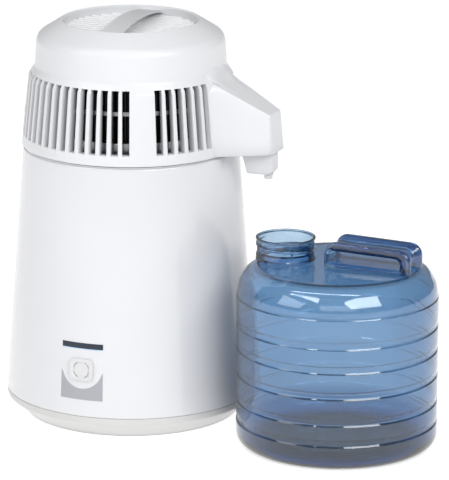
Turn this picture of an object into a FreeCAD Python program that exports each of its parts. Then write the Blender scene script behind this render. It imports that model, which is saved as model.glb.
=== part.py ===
import FreeCAD, Part
import math
import os
import re

import Sketcher
from FreeCAD import Placement, Rotation, Vector

# Countertop water distiller: a painted steel boiler, a lift-off condenser head with a
# louvred ring and a moulded spout, and the collecting jug that stands beside it.
# Frame: +Z up, origin on the boiler's axis at the floor, +X towards the spout,
# -Y towards the front with the reset button.  All sizes are millimetres or degrees.

SIZES = {
    # foot and base pan
    "foot_height": 2.0,
    "foot_width": 5.0,
    "foot_setback": 0.5,
    "foot_clearance": 1.0,
    "pan_height": 19.0,
    "pan_foot_radius": 98.6,
    "pan_flare_height": 13.0,
    "pan_wall": 2.4,
    "pan_ledge": 10.0,
    "pan_lip_step": 0.4,
    "spigot_height": 5.0,
    "spigot_gap": 0.6,
    "cover_thickness": 1.0,
    "cover_gap": 0.5,
    "screw_radius": 1.5,
    "screw_head_radius": 3.0,
    "screw_head_height": 1.2,
    "screw_length": 5.0,
    "base_screw_count": 4,
    # casing
    "casing_foot_radius": 115.4,
    "casing_rim_radius": 98.3,
    "casing_height": 227.0,
    "casing_wall": 1.0,
    "casing_lip": 7.0,
    # boiling tank and heater
    "tank_radius": 89.0,
    "tank_wall": 1.0,
    "tank_depth": 185.0,
    "flange_setback": 0.5,
    "heater_radius": 62.0,
    "heater_thickness": 8.0,
    "thermostat_radius": 8.0,
    "thermostat_height": 6.0,
    "thermostat_spacing": 34.0,
    "terminal_spacing": 30.0,
    "terminal_setback": 12.0,
    "terminal_length": 12.0,
    "terminal_width": 6.3,
    "terminal_thickness": 1.0,
    # reset button and the marks round it
    "button_height": 64.0,
    "button_radius": 7.5,
    "button_gap": 0.35,
    "button_proud": 1.4,
    "button_edge": 1.0,
    "button_skirt": 6.0,
    "button_stem_radius": 3.0,
    "button_stem": 3.0,
    "button_travel_room": 3.0,
    "bezel_width": 23.0,
    "bezel_height": 20.1,
    "bezel_corner": 5.0,
    "bezel_proud": 2.0,
    "bezel_neck_wall": 1.4,
    "hole_gap": 0.2,
    "switch_width": 14.0,
    "switch_height": 16.0,
    "switch_gap": 1.5,
    "mark_width": 40.0,
    "mark_thickness": 0.5,
    "panel_foot": 27.5,
    "panel_height": 25.9,
    "panel_arc_radius": 20.0,
    "panel_arc_rise": 2.5,
    "badge_foot": 19.0,
    "badge_height": 5.6,
    # mains inlet and fan socket on the back
    "inlet_level": 45.0,
    "inlet_cavity_width": 24.4,
    "inlet_cavity_height": 16.8,
    "inlet_cavity_depth": 16.0,
    "inlet_wall": 1.5,
    "inlet_flange": 3.0,
    "inlet_flange_proud": 2.0,
    "pin_width": 2.0,
    "pin_height": 4.0,
    "pin_recess": 6.0,
    "pin_spacing": 7.0,
    "pin_offset": 2.0,
    "socket_level": 212.0,
    "socket_radius": 6.8,
    "socket_flange": 2.2,
    "socket_proud": 1.5,
    "socket_depth": 7.0,
    "socket_bore": 2.0,
    "socket_wall": 2.0,
    # head shell
    "seam_gap": 1.0,
    "ring_foot_radius": 99.4,
    "ring_top_radius": 92.6,
    "ring_height": 63.5,
    "rib_depth": 8.5,
    "flare_height": 8.9,
    "dome_foot_radius": 86.9,
    "dome_top_radius": 85.3,
    "dome_height": 27.3,
    "shoulder_height": 14.0,
    "shoulder_round": 8.0,
    "rim_width": 2.3,
    "rim_fall": 1.2,
    "recess_radius": 60.6,
    "recess_depth": 9.5,
    "ledge_width": 4.6,
    "ledge_thickness": 2.0,
    "head_wall": 2.5,
    "shoulder_wall": 3.5,
    "lid_seat_depth": 2.5,
    # louvres
    "slot_width": 6.6,
    "slot_foot": 9.2,
    "slot_height": 57.6,
    "slot_pitch": 6.0,
    "spout_panel": 21.0,
    "side_panel": 69.0,
    "short_run": 6,
    "long_run": 18,
    # spout arm
    "arm_reach": 143.4,
    "arm_lift": 2.0,
    "arm_end_height": 36.0,
    "arm_end_half": 16.0,
    "arm_root": 60.0,
    "arm_spread": 0.25,
    "arm_draft": 5.0,
    "arm_top_slope": 0.524,
    "arm_round": 4.0,
    # outlet cup under the spout
    "cup_inner_top": 113.0,
    "cup_inner_foot": 118.4,
    "cup_outer": 141.5,
    "cup_half_width": 7.5,
    "cup_height": 18.0,
    "cup_chamfer": 4.0,
    "cup_wall": 2.6,
    "collar_step": 1.2,
    "collar_wall": 1.4,
    "collar_height": 5.0,
    "collar_gap": 0.35,
    "nozzle_reach": 134.6,
    "nozzle_radius": 3.75,
    "nozzle_bore": 2.4,
    "nozzle_length": 6.0,
    "nozzle_collar_wall": 0.8,
    "nozzle_collar_height": 0.8,
    "filter_height": 9.0,
    "filter_gap": 0.5,
    # grille and carrying bar on top
    "slat_pitch": 7.75,
    "slat_thickness": 2.6,
    "slat_height": 3.6,
    "cross_bar_width": 3.0,
    "cross_bar_height": 1.8,
    "cross_bar_place": 28.0,
    "bar_width": 20.0,
    "bar_thickness": 2.6,
    "bar_arch_radius": 300.0,
    "bar_crest": 2.5,
    "bar_turn": 5.0,
    # fan
    "bracket_thickness": 2.0,
    "bracket_arm_width": 10.0,
    "bracket_inset": 1.0,
    "bracket_screw_length": 4.0,
    "motor_radius": 27.0,
    "motor_height": 15.5,
    "motor_chamfer": 3.0,
    "shaft_radius": 2.0,
    "shaft_gap": 0.05,
    "shaft_engagement": 12.0,
    "shaft_end_gap": 1.0,
    "hub_radius": 14.0,
    "hub_height": 12.0,
    "hub_gap": 1.0,
    "fan_radius": 74.0,
    "blade_seat": 3.0,
    "blade_count": 7,
    "blade_thickness": 1.5,
    "blade_root_chord": 20.0,
    "blade_tip_chord": 36.0,
    "blade_root_pitch": 28.0,
    "blade_tip_pitch": 16.0,
    "blade_lift": 6.5,
    # condenser
    "lid_thickness": 1.0,
    "lid_radius": 84.0,
    "lid_rise": 16.0,
    "gasket_width": 6.0,
    "gasket_lap": 1.5,
    "sleeve_radius": 66.0,
    "sleeve_wall": 0.8,
    "fin_radius": 83.4,
    "fin_height": 50.0,
    "fin_thickness": 0.8,
    "fin_count": 60,
    "band_height": 4.0,
    "band_thickness": 1.0,
    "band_rise": 25.0,
    "notch_width": 12.0,
    "notch_height": 14.0,
    "coil_radius": 60.0,
    "coil_tube_radius": 4.5,
    "port_radius": 3.5,
    "port_inset": 13.5,
    "coil_rise": 9.0,
    "coil_pitch": 16.0,
    "coil_turns": 2,
    "coil_runs_per_turn": 14,
    "outlet_tube_radius": 3.5,
    "outlet_bend_radius": 9.0,
    "outlet_drop_end": 2.0,
    "gland_level": 20.0,
    "gland_radius": 6.0,
    "gland_reach": 5.0,
    "gland_bore": 2.0,
    # jug
    "jug_radius": 90.3,
    "jug_gap": 9.9,
    "jug_side_shift": 30.0,
    "jug_wall": 2.2,
    "jug_corner": 15.0,
    "jug_top_height": 165.0,
    "jug_top_radius": 72.0,
    "jug_shoulder_drop": 31.0,
    "jug_shoulder_one_inset": 2.3,
    "jug_shoulder_one_drop": 19.0,
    "jug_shoulder_two_inset": 7.8,
    "jug_shoulder_two_drop": 7.0,
    "jug_shoulder_round": 20.0,
    "jug_band_count": 5,
    "jug_band_drop": 51.2,
    "jug_band_pitch": 22.4,
    "jug_band_width": 7.0,
    "jug_band_depth": 1.1,
    "jug_band_slope": 1.6,
    "neck_offset": 50.0,
    "neck_radius": 26.85,
    "neck_wall": 2.6,
    "neck_height": 19.8,
    "neck_collar_wall": 1.2,
    "neck_collar_height": 1.5,
    "handle_width": 36.0,
    "handle_start": -6.9,
    "handle_end": 74.5,
    "handle_height": 24.2,
    "handle_fall": 2.0,
    "handle_heel_round": 10.5,
    "handle_nose_round": 12.5,
    "finger_start": 5.5,
    "finger_end": 64.1,
    "finger_foot": 4.0,
    "finger_height": 10.0,
    "finger_round": 3.5,
    "channel_width": 22.0,
    "channel_depth": 2.5,
    "channel_end_gap": 1.0,
}

# Levels and places that follow from the sizes above
PAN_TOP = "(foot_height + pan_height)"
RIM = f"({PAN_TOP} + casing_height)"
TANK_TOP = f"({RIM} + tank_wall)"
TANK_FLOOR = f"({TANK_TOP} - tank_depth)"
HEATER_FOOT = f"({TANK_FLOOR} - tank_wall - heater_thickness)"
HEAD_FOOT = f"({TANK_TOP} + seam_gap)"
RING_TOP = f"({HEAD_FOOT} + ring_height)"
DOME_FOOT = f"({RING_TOP} + flare_height)"
DOME_TOP = f"({DOME_FOOT} + dome_height)"
CREST = f"({DOME_TOP} + shoulder_height)"
RECESS_EDGE = f"({CREST} - rim_fall)"
LEDGE_TOP = f"({RECESS_EDGE} - recess_depth)"
LEDGE_FOOT = f"({LEDGE_TOP} - ledge_thickness)"
LEDGE_RADIUS = "(recess_radius - ledge_width)"
SEAT_RADIUS = "(ring_foot_radius - head_wall - gasket_lap)"
SEAT_TOP = f"({HEAD_FOOT} + lid_seat_depth)"
LID_TOP = f"({SEAT_TOP} - lid_thickness + lid_rise)"
ARM_FOOT = f"({HEAD_FOOT} + arm_lift)"
CUP_FOOT = f"({ARM_FOOT} - cup_height)"
MOTOR_FOOT = f"({LEDGE_FOOT} - bracket_thickness - motor_height)"
HUB_FOOT = f"({MOTOR_FOOT} - hub_gap - hub_height)"
COIL_FOOT = f"({LID_TOP} + coil_rise)"
JUG_X = "sqrt((casing_foot_radius + jug_radius + jug_gap) ^ 2 - jug_side_shift ^ 2)"
NECK_RADIUS = "(button_radius + button_gap + bezel_neck_wall)"
NECK_END = "(button_skirt + button_stem + button_travel_room)"
BUTTON_SHARE = f"((button_height - {PAN_TOP}) / casing_height)"
BUTTON_FACE = f"(casing_foot_radius - {BUTTON_SHARE} * (casing_foot_radius - casing_rim_radius))"
SWITCH_DEPTH = f"({BUTTON_FACE} - {NECK_END} - tank_radius - tank_wall - switch_gap)"
FOOT_INNER = "(pan_foot_radius - foot_width - foot_clearance)"
COVER_TOP = "(foot_height + pan_wall)"
COVER_SCREW_RADIUS = f"({FOOT_INNER} - pan_ledge / 2)"
INLET_WIDTH = "(inlet_cavity_width + 2 * inlet_wall)"
INLET_HEIGHT = "(inlet_cavity_height + 2 * inlet_wall)"
COLLAR_INNER = "(cup_inner_foot + cup_wall - collar_wall)"
COLLAR_OUTER = "(cup_outer - collar_step)"
CUP_ROOM_INNER = "(cup_inner_foot + cup_wall)"
CUP_ROOM_OUTER = "(cup_outer - cup_chamfer)"
BRACKET_SCREW_RADIUS = "(recess_radius - ledge_width / 2)"
PORT_REACH = "(coil_radius - port_inset)"
NECK_FOOT = "(jug_top_height - jug_shoulder_two_drop)"

# Azimuths in degrees
FRONT = -90
BACK = 90
BRACKET_TURN = 30.0

# How far a cutting tool runs past a face, through a wall, and how deep a flange's blank
# goes behind the wall that trims it
PAST = "1"
THROUGH = "10"
BEHIND = "6"

DOCUMENT = FreeCAD.newDocument("distiller")
SHEET = DOCUMENT.addObject("Spreadsheet::Sheet", "Sizes")
WORD = re.compile(r"[a-z]+(?:_[a-z]+)+")


def fill_sheet():
    for row, (alias, size) in enumerate(SIZES.items(), start=1):
        SHEET.set(f"A{row}", alias)
        SHEET.set(f"B{row}", str(size))
        SHEET.setAlias(f"B{row}", alias)
    DOCUMENT.recompute()


def sheet_words(expression):
    """The expression with each size written as a reference to the sheet."""
    return WORD.sub(lambda match: "Sizes." + match.group(0), expression)


def value(expression):
    return float(SHEET.evalExpression(sheet_words(expression)))


def bind(thing, prop, expression):
    thing.setExpression(prop, sheet_words(expression))


# Plain solids and booleans


def place(thing, corner, frame=None, turn=None):
    """Puts a solid at a corner given in expressions, in the frame of a face if one is named."""
    turn = turn or Rotation()
    if frame is None:
        thing.Placement = Placement(Vector(), turn)
        for letter, expression in zip("xyz", corner):
            bind(thing, f"Placement.Base.{letter}", expression)
    else:
        spot = Vector(*[value(expression) for expression in corner])
        thing.Placement = frame.multiply(Placement(spot, turn))


def block(name, size, corner, frame=None):
    thing = DOCUMENT.addObject("Part::Box", name)
    for prop, expression in zip(("Length", "Width", "Height"), size):
        bind(thing, prop, expression)
    place(thing, corner, frame)
    return thing


AXIS_TURNS = {
    "X": Rotation(Vector(0, 1, 0), 90),
    "Y": Rotation(Vector(1, 0, 0), -90),
    "Z": Rotation(),
}


def rod(name, radius, length, start, axis="Z", frame=None):
    thing = DOCUMENT.addObject("Part::Cylinder", name)
    bind(thing, "Radius", radius)
    bind(thing, "Height", length)
    place(thing, start, frame, AXIS_TURNS[axis])
    return thing


def cone(name, foot_radius, top_radius, height, level):
    thing = DOCUMENT.addObject("Part::Cone", name)
    bind(thing, "Radius1", foot_radius)
    bind(thing, "Radius2", top_radius)
    bind(thing, "Height", height)
    place(thing, ("0", "0", level))
    return thing


def cut(name, base, tool):
    thing = DOCUMENT.addObject("Part::Cut", name)
    thing.Base = base
    thing.Tool = tool
    return thing


def fuse(name, *pieces):
    thing = DOCUMENT.addObject("Part::MultiFuse", name)
    thing.Shapes = list(pieces)
    return thing


def common(name, *pieces):
    thing = DOCUMENT.addObject("Part::MultiCommon", name)
    thing.Shapes = list(pieces)
    return thing


def rounded(name, base, radius, direction):
    """Rounds the edges of a block that run along one of its own directions."""
    DOCUMENT.recompute()
    along = base.Placement.Rotation.multVec(direction)
    thing = DOCUMENT.addObject("Part::Fillet", name)
    thing.Base = base
    size = value(radius)
    edges = enumerate(base.Shape.Edges, start=1)
    thing.Edges = [(i, size, size) for i, e in edges if abs(abs(e.tangentAt(0).dot(along)) - 1) < 1e-6]
    return thing


def around(name, piece, count, first=0.0):
    """Copies of one small piece, evenly round the Z axis, as one group of solids."""
    DOCUMENT.recompute()
    thing = DOCUMENT.addObject("Part::Feature", name)
    number = int(value(count))
    turns = [first + 360.0 * i / number for i in range(number)]
    copies = [piece.Shape.copy() for _ in turns]
    for copy, turn in zip(copies, turns):
        copy.rotate(Vector(), Vector(0, 0, 1), turn)
    thing.Shape = Part.makeCompound(copies)
    return thing


# Bodies with sketches


def origin_feature(body, role):
    return next(item for item in body.Origin.OriginFeatures if item.Role == role)


def new_sketch(body, role, offset=None):
    sketch = body.newObject("Sketcher::SketchObject", body.Name + "_sketch")
    sketch.AttachmentSupport = (origin_feature(body, role), [""])
    sketch.MapMode = "FlatFace"
    if offset is not None:
        sketch.AttachmentOffset = offset
    return sketch


def hold(sketch, kind, place_in_sketch, expression):
    """Adds one driving dimension to a sketch and binds it to the sheet."""
    index = sketch.addConstraint(Sketcher.Constraint(kind, *place_in_sketch, value(expression)))
    sketch.renameConstraint(index, f"size{index}")
    bind(sketch, f"Constraints.size{index}", expression)


def outline(body, role, corners, offset=None):
    """A closed outline of straight lines through corners given in expressions."""
    sketch = new_sketch(body, role, offset)
    points = [Vector(value(across), value(up), 0) for across, up in corners]
    ends = points[1:] + points[:1]
    sketch.addGeometry([Part.LineSegment(a, b) for a, b in zip(points, ends)], False)
    last = len(corners)
    sketch.addConstraint([Sketcher.Constraint("Coincident", i, 2, (i + 1) % last, 1) for i in range(last)])
    for i, (across, up) in enumerate(corners):
        hold(sketch, "DistanceX", (i, 1), across)
        hold(sketch, "DistanceY", (i, 1), up)
    return sketch


def rectangle(body, role, left, right, foot, top, offset=None):
    return outline(body, role, [(left, foot), (right, foot), (right, top), (left, top)], offset)


def circle(body, role, across, up, radius, offset=None):
    sketch = new_sketch(body, role, offset)
    centre = Vector(value(across), value(up), 0)
    sketch.addGeometry(Part.Circle(centre, Vector(0, 0, 1), value(radius)), False)
    hold(sketch, "DistanceX", (0, 3), across)
    hold(sketch, "DistanceY", (0, 3), up)
    hold(sketch, "Radius", (0,), radius)
    return sketch


def new_body(name):
    body = DOCUMENT.addObject("PartDesign::Body", name)
    body.Label = name
    return body


def feature(body, kind, sketch, length=None, middle=False, **settings):
    thing = body.newObject("PartDesign::" + kind, f"{body.Name}_{kind}")
    thing.Profile = sketch
    if length is not None:
        bind(thing, "Length", length)
    if middle:
        thing.Midplane = True
    for prop, setting in settings.items():
        setattr(thing, prop, setting)
    return thing


def turned(name, corners, role="XZ_Plane"):
    """A body turned about the upright axis of its sketch."""
    body = new_body(name)
    sketch = outline(body, role, corners)
    feature(body, "Revolution", sketch, ReferenceAxis=(sketch, ["V_Axis"]), Angle=360)
    return body


def repeat_round(body, original, count, spacing=None):
    """Repeats a feature about Z, evenly round the circle or at a stated spacing."""
    pattern = body.newObject("PartDesign::PolarPattern", body.Name + "_round")
    pattern.Originals = [original]
    pattern.Axis = (origin_feature(body, "Z_Axis"), [""])
    bind(pattern, "Occurrences", count)
    if spacing is not None:
        pattern.Mode = "Spacing"
        bind(pattern, "Offset", spacing)
    body.Tip = pattern
    return pattern


def round_edges(body, base, radius, chosen):
    """Rounds the edges of a feature that a test picks out."""
    DOCUMENT.recompute()
    names = [f"Edge{i}" for i, edge in enumerate(base.Shape.Edges, start=1) if chosen(edge)]
    thing = body.newObject("PartDesign::Fillet", body.Name + "_fillet")
    thing.Base = (base, names)
    bind(thing, "Radius", radius)
    return thing


def lifted(level, turn=0.0):
    """Offset of an XY sketch to a level."""
    return Placement(Vector(0, 0, value(level)), Rotation(Vector(0, 0, 1), turn))


def slope_degrees():
    fall = value("casing_foot_radius - casing_rim_radius")
    return math.degrees(math.atan2(fall, value("casing_height")))


def on_casing(azimuth, level):
    """Frame on the casing's outer face: -Y points straight out, Z runs up the face."""
    height = value(level)
    share = (height - value(PAN_TOP)) / value("casing_height")
    radius = value("casing_foot_radius") - share * value("casing_foot_radius - casing_rim_radius")
    angle = math.radians(azimuth)
    spot = Vector(radius * math.cos(angle), radius * math.sin(angle), height)
    turn = Rotation(Vector(0, 0, 1), azimuth + 90).multiply(Rotation(Vector(1, 0, 0), -slope_degrees()))
    return Placement(spot, turn)


def casing_envelope(name, extra="0"):
    grown = (f"casing_foot_radius + {extra}", f"casing_rim_radius + {extra}")
    return cone(name, *grown, "casing_height", PAN_TOP)


# Boiler


def foot_ring():
    outer = "(pan_foot_radius - foot_setback)"
    inner = f"({outer} - foot_width)"
    return turned("foot_ring", [(inner, "0"), (outer, "0"), (outer, "foot_height"), (inner, "foot_height")])


def base_pan():
    inner = FOOT_INNER
    ledge_top = f"({COVER_TOP} + pan_wall)"
    spigot = "(casing_foot_radius - casing_wall - spigot_gap)"
    flare = "(casing_foot_radius - pan_lip_step)"
    body = turned("base_pan", [
        (inner, "foot_height"),
        ("pan_foot_radius", "foot_height"),
        (flare, "foot_height + pan_flare_height"),
        ("casing_foot_radius", PAN_TOP),
        (spigot, PAN_TOP),
        (spigot, f"{PAN_TOP} + spigot_height"),
        (f"{spigot} - pan_wall", f"{PAN_TOP} + spigot_height"),
        (f"{spigot} - pan_wall", "foot_height + pan_flare_height + pan_wall"),
        ("pan_foot_radius - pan_wall", ledge_top),
        (f"{inner} - pan_ledge", ledge_top),
        (f"{inner} - pan_ledge", COVER_TOP),
        (inner, COVER_TOP),
    ])
    hole = circle(body, "XY_Plane", COVER_SCREW_RADIUS, "0", "screw_radius")
    pocket = feature(body, "Pocket", hole, f"{ledge_top} + {PAST}", Reversed=True)
    repeat_round(body, pocket, "base_screw_count")
    return body


def bottom_cover():
    body = new_body("bottom_cover")
    plate = circle(body, "XY_Plane", "0", "0", f"{FOOT_INNER} - cover_gap",
                   lifted(f"{COVER_TOP} - cover_thickness"))
    feature(body, "Pad", plate, "cover_thickness")
    hole = circle(body, "XY_Plane", COVER_SCREW_RADIUS, "0", "screw_radius")
    pocket = feature(body, "Pocket", hole, f"{COVER_TOP} + {PAST}", Reversed=True)
    repeat_round(body, pocket, "base_screw_count")
    return body


def screw(name, across, seat, length):
    """A pan-head screw driven upwards, its head under the seat."""
    head = rod(name + "_head", "screw_head_radius", "screw_head_height",
               (across, "0", f"{seat} - screw_head_height"))
    shank = rod(name + "_shank", "screw_radius", length, (across, "0", seat))
    return fuse(name, head, shank)


def base_screws():
    single = screw("base_screw", COVER_SCREW_RADIUS, f"({COVER_TOP} - cover_thickness)", "screw_length")
    return around("base_screws", single, "base_screw_count")


def casing():
    inner_foot = "(casing_foot_radius - casing_wall)"
    inner_rim = "(casing_rim_radius - casing_wall)"
    shell = turned("casing_shell", [
        (inner_foot, PAN_TOP),
        ("casing_foot_radius", PAN_TOP),
        ("casing_rim_radius", RIM),
        ("casing_rim_radius - casing_lip", RIM),
        ("casing_rim_radius - casing_lip", f"{RIM} - casing_wall"),
        (inner_rim, f"{RIM} - casing_wall"),
    ])
    front, inlet, socket = control_frame(), inlet_frame(), socket_frame()
    start = f"-{THROUGH}"
    deep = f"2 * {THROUGH}"
    button_hole = rod("button_hole", f"{NECK_RADIUS} + hole_gap", deep, ("0", start, "0"), "Y", front)
    wide, tall = f"({INLET_WIDTH} + 2 * hole_gap)", f"({INLET_HEIGHT} + 2 * hole_gap)"
    inlet_hole = block("inlet_hole", (wide, deep, tall), (f"-{wide} / 2", start, f"-{tall} / 2"), inlet)
    socket_hole = rod("socket_hole", "socket_radius + hole_gap", deep, ("0", start, "0"), "Y", socket)
    holes = fuse("casing_holes", button_hole, inlet_hole, socket_hole)
    return cut("casing", shell, holes)


def tank():
    """The side wall, with the flange that hangs it on the casing's rim."""
    edge = "(casing_rim_radius - flange_setback)"
    outer = "(tank_radius + tank_wall)"
    return turned("tank", [
        ("tank_radius", f"{TANK_FLOOR} - tank_wall"),
        (outer, f"{TANK_FLOOR} - tank_wall"),
        (outer, RIM),
        (edge, RIM),
        (edge, TANK_TOP),
        ("tank_radius", TANK_TOP),
    ])


def tank_floor():
    """The floor plate welded into the lower end of the wall."""
    return rod("tank_floor", "tank_radius", "tank_wall", ("0", "0", f"{TANK_FLOOR} - tank_wall"))


def heater_plate():
    return rod("heater_plate", "heater_radius", "heater_thickness", ("0", "0", HEATER_FOOT))


def heater_terminals():
    size = ("terminal_thickness", "terminal_width", "terminal_length")
    level = f"{HEATER_FOOT} - terminal_length"
    pins = []
    for side, sign in (("left", "-1"), ("right", "1")):
        across = f"{sign} * terminal_spacing / 2 - terminal_width / 2"
        pins.append(block(f"terminal_{side}", size, ("heater_radius - terminal_setback", across, level)))
    return fuse("heater_terminals", *pins)


def thermostats():
    level = f"{HEATER_FOOT} - thermostat_height"
    discs = [rod(f"thermostat_{side}", "thermostat_radius", "thermostat_height",
                 ("0", f"{sign} * thermostat_spacing / 2", level))
             for side, sign in (("front", "-1"), ("rear", "1"))]
    return fuse("thermostats", *discs)


# Reset button, its bezel and switch, and the two marks


def control_frame():
    return on_casing(FRONT, "button_height")


def reset_bezel():
    front = control_frame()
    blank = block("bezel_blank", ("bezel_width", f"bezel_proud + {BEHIND}", "bezel_height"),
                  ("-bezel_width / 2", "-bezel_proud", "-bezel_height / 2"), front)
    plate = rounded("bezel_plate", blank, "bezel_corner", Vector(0, 1, 0))
    flange = cut("bezel_flange", plate, casing_envelope("bezel_face"))
    neck = rod("bezel_neck", NECK_RADIUS, f"{NECK_END} + bezel_proud / 2", ("0", "-bezel_proud / 2", "0"),
               "Y", front)
    solid = fuse("bezel_solid", flange, neck)
    bore = rod("bezel_bore", "button_radius + button_gap", f"{NECK_END} + 2 * {THROUGH}",
               ("0", f"-{THROUGH}", "0"), "Y", front)
    return cut("reset_bezel", solid, bore)


def reset_button():
    body = turned("reset_button", [
        ("0", "-button_proud"),
        ("button_radius - button_edge", "-button_proud"),
        ("button_radius", "button_edge - button_proud"),
        ("button_radius", "button_skirt"),
        ("button_stem_radius", "button_skirt"),
        ("button_stem_radius", "button_skirt + button_stem"),
        ("0", "button_skirt + button_stem"),
    ], "XY_Plane")
    body.Placement = control_frame()
    return body


def reset_switch():
    """Sits on the end of the bezel's neck, clear of the tank."""
    return block("reset_switch", ("switch_width", SWITCH_DEPTH, "switch_height"),
                 ("-switch_width / 2", NECK_END, "-switch_height / 2"), control_frame())


def mark(name, foot, height, cutter=None):
    """A thin printed plate that follows the casing's cone."""
    blank = block(name + "_blank", ("mark_width", f"2 * {THROUGH}", height),
                  ("-mark_width / 2", f"-{THROUGH}", foot), control_frame())
    if cutter is not None:
        blank = cut(name + "_cut", blank, cutter)
    grown = casing_envelope(name + "_outer", "mark_thickness")
    skin = cut(name + "_skin", grown, casing_envelope(name + "_inner"))
    return common(name, blank, skin)


def label_plate():
    arc = rod("label_arc", "panel_arc_radius", f"2 * {THROUGH}", ("0", f"-{THROUGH}", "panel_arc_rise"), "Y",
              control_frame())
    return mark("label_plate", "-panel_foot", "panel_height", arc)


def badge_strip():
    return mark("badge_strip", "badge_foot", "badge_height")


# Mains inlet and fan socket


def inlet_frame():
    return on_casing(BACK, "inlet_level")


def socket_frame():
    return on_casing(BACK, "socket_level")


def power_inlet():
    back = inlet_frame()
    wide = f"({INLET_WIDTH} + 2 * inlet_flange)"
    tall = f"({INLET_HEIGHT} + 2 * inlet_flange)"
    blank = block("inlet_blank", (wide, f"inlet_flange_proud + {BEHIND}", tall),
                  (f"-{wide} / 2", "-inlet_flange_proud", f"-{tall} / 2"), back)
    plate = rounded("inlet_plate", blank, "inlet_flange", Vector(0, 1, 0))
    flange = cut("inlet_face", plate, casing_envelope("inlet_envelope"))
    deep = "inlet_cavity_depth + inlet_wall + inlet_flange_proud / 2"
    housing = block("inlet_housing", (INLET_WIDTH, deep, INLET_HEIGHT),
                    (f"-{INLET_WIDTH} / 2", "-inlet_flange_proud / 2", f"-{INLET_HEIGHT} / 2"), back)
    room = ("inlet_cavity_width", f"inlet_cavity_depth + {THROUGH}", "inlet_cavity_height")
    cavity = block("inlet_cavity", room,
                   ("-inlet_cavity_width / 2", f"-{THROUGH}", "-inlet_cavity_height / 2"), back)
    return cut("power_inlet", fuse("inlet_solid", flange, housing), cavity)


def inlet_pins():
    length = "(inlet_cavity_depth - pin_recess + inlet_flange_proud)"
    start = "(pin_recess - inlet_flange_proud)"
    spots = (("left", "-pin_spacing", "-pin_offset"), ("middle", "0", "pin_offset"),
             ("right", "pin_spacing", "-pin_offset"))
    pins = [block(f"pin_{side}", ("pin_width", length, "pin_height"),
                  (f"{across} - pin_width / 2", start, f"{up} - pin_height / 2"), inlet_frame())
            for side, across, up in spots]
    return fuse("inlet_pins", *pins)


def fan_socket():
    back = socket_frame()
    blank = rod("socket_blank", "socket_radius + socket_flange", f"socket_proud + {BEHIND}",
                ("0", "-socket_proud", "0"), "Y", back)
    flange = cut("socket_face", blank, casing_envelope("socket_envelope"))
    barrel = rod("socket_barrel", "socket_radius", "socket_depth + socket_proud / 2",
                 ("0", "-socket_proud / 2", "0"), "Y", back)
    bore = rod("socket_hollow", "socket_bore", f"socket_depth - socket_wall + {THROUGH}",
               ("0", f"-{THROUGH}", "0"), "Y", back)
    return cut("fan_socket", fuse("socket_solid", flange, barrel), bore)


# Head shell with louvres and spout


def spout_form(body, inset):
    """The spout arm as a drafted prism with a sloping top, smaller all round by an inset."""
    root = "arm_root"
    end = f"(arm_reach - {inset})"
    end_half = f"(arm_end_half - {inset})"
    root_half = f"({end_half} + ({end} - {root}) * arm_spread)"
    plan = outline(body, "XY_Plane", [(root, f"-{root_half}"), (end, f"-{end_half}"), (end, end_half),
                                      (root, root_half)], lifted(f"{ARM_FOOT} + {inset}"))
    pad = feature(body, "Pad", plan, "ring_height + dome_height")
    DOCUMENT.recompute()
    low, back = value(f"{ARM_FOOT} + {inset}"), value(root)
    faces = {f"Face{i}": face.CenterOfMass for i, face in enumerate(pad.Shape.Faces, start=1)}
    top = max(spot.z for spot in faces.values())
    sides = [name for name, spot in faces.items() if spot.x > back + 1 and low + 1 < spot.z < top - 1]
    foot = next(name for name, spot in faces.items() if abs(spot.z - low) < 1e-6)
    draft = body.newObject("PartDesign::Draft", body.Name + "_draft")
    draft.Base = (pad, sides)
    draft.NeutralPlane = (pad, [foot])
    bind(draft, "Angle", "arm_draft")
    end_top = f"({ARM_FOOT} + arm_end_height - {inset})"
    rise = f"(({end} - {root}) * arm_top_slope)"
    over = outline(body, "XZ_Plane", [
        (root, f"{end_top} + {rise}"),
        (end, end_top),
        (end, f"{end_top} + 2 * {rise} + ring_height"),
        (root, f"{end_top} + 2 * {rise} + ring_height"),
    ])
    sloped = feature(body, "Pocket", over, "4 * arm_reach", middle=True)
    near_end = value(f"{end} - 2 * arm_round")

    def outside_edge(edge):
        spots = [vertex.Point for vertex in edge.Vertexes]
        return max(spot.x for spot in spots) > near_end and max(spot.z for spot in spots) > low + 1

    return round_edges(body, sloped, f"arm_round - {inset} / 2", outside_edge)


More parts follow.
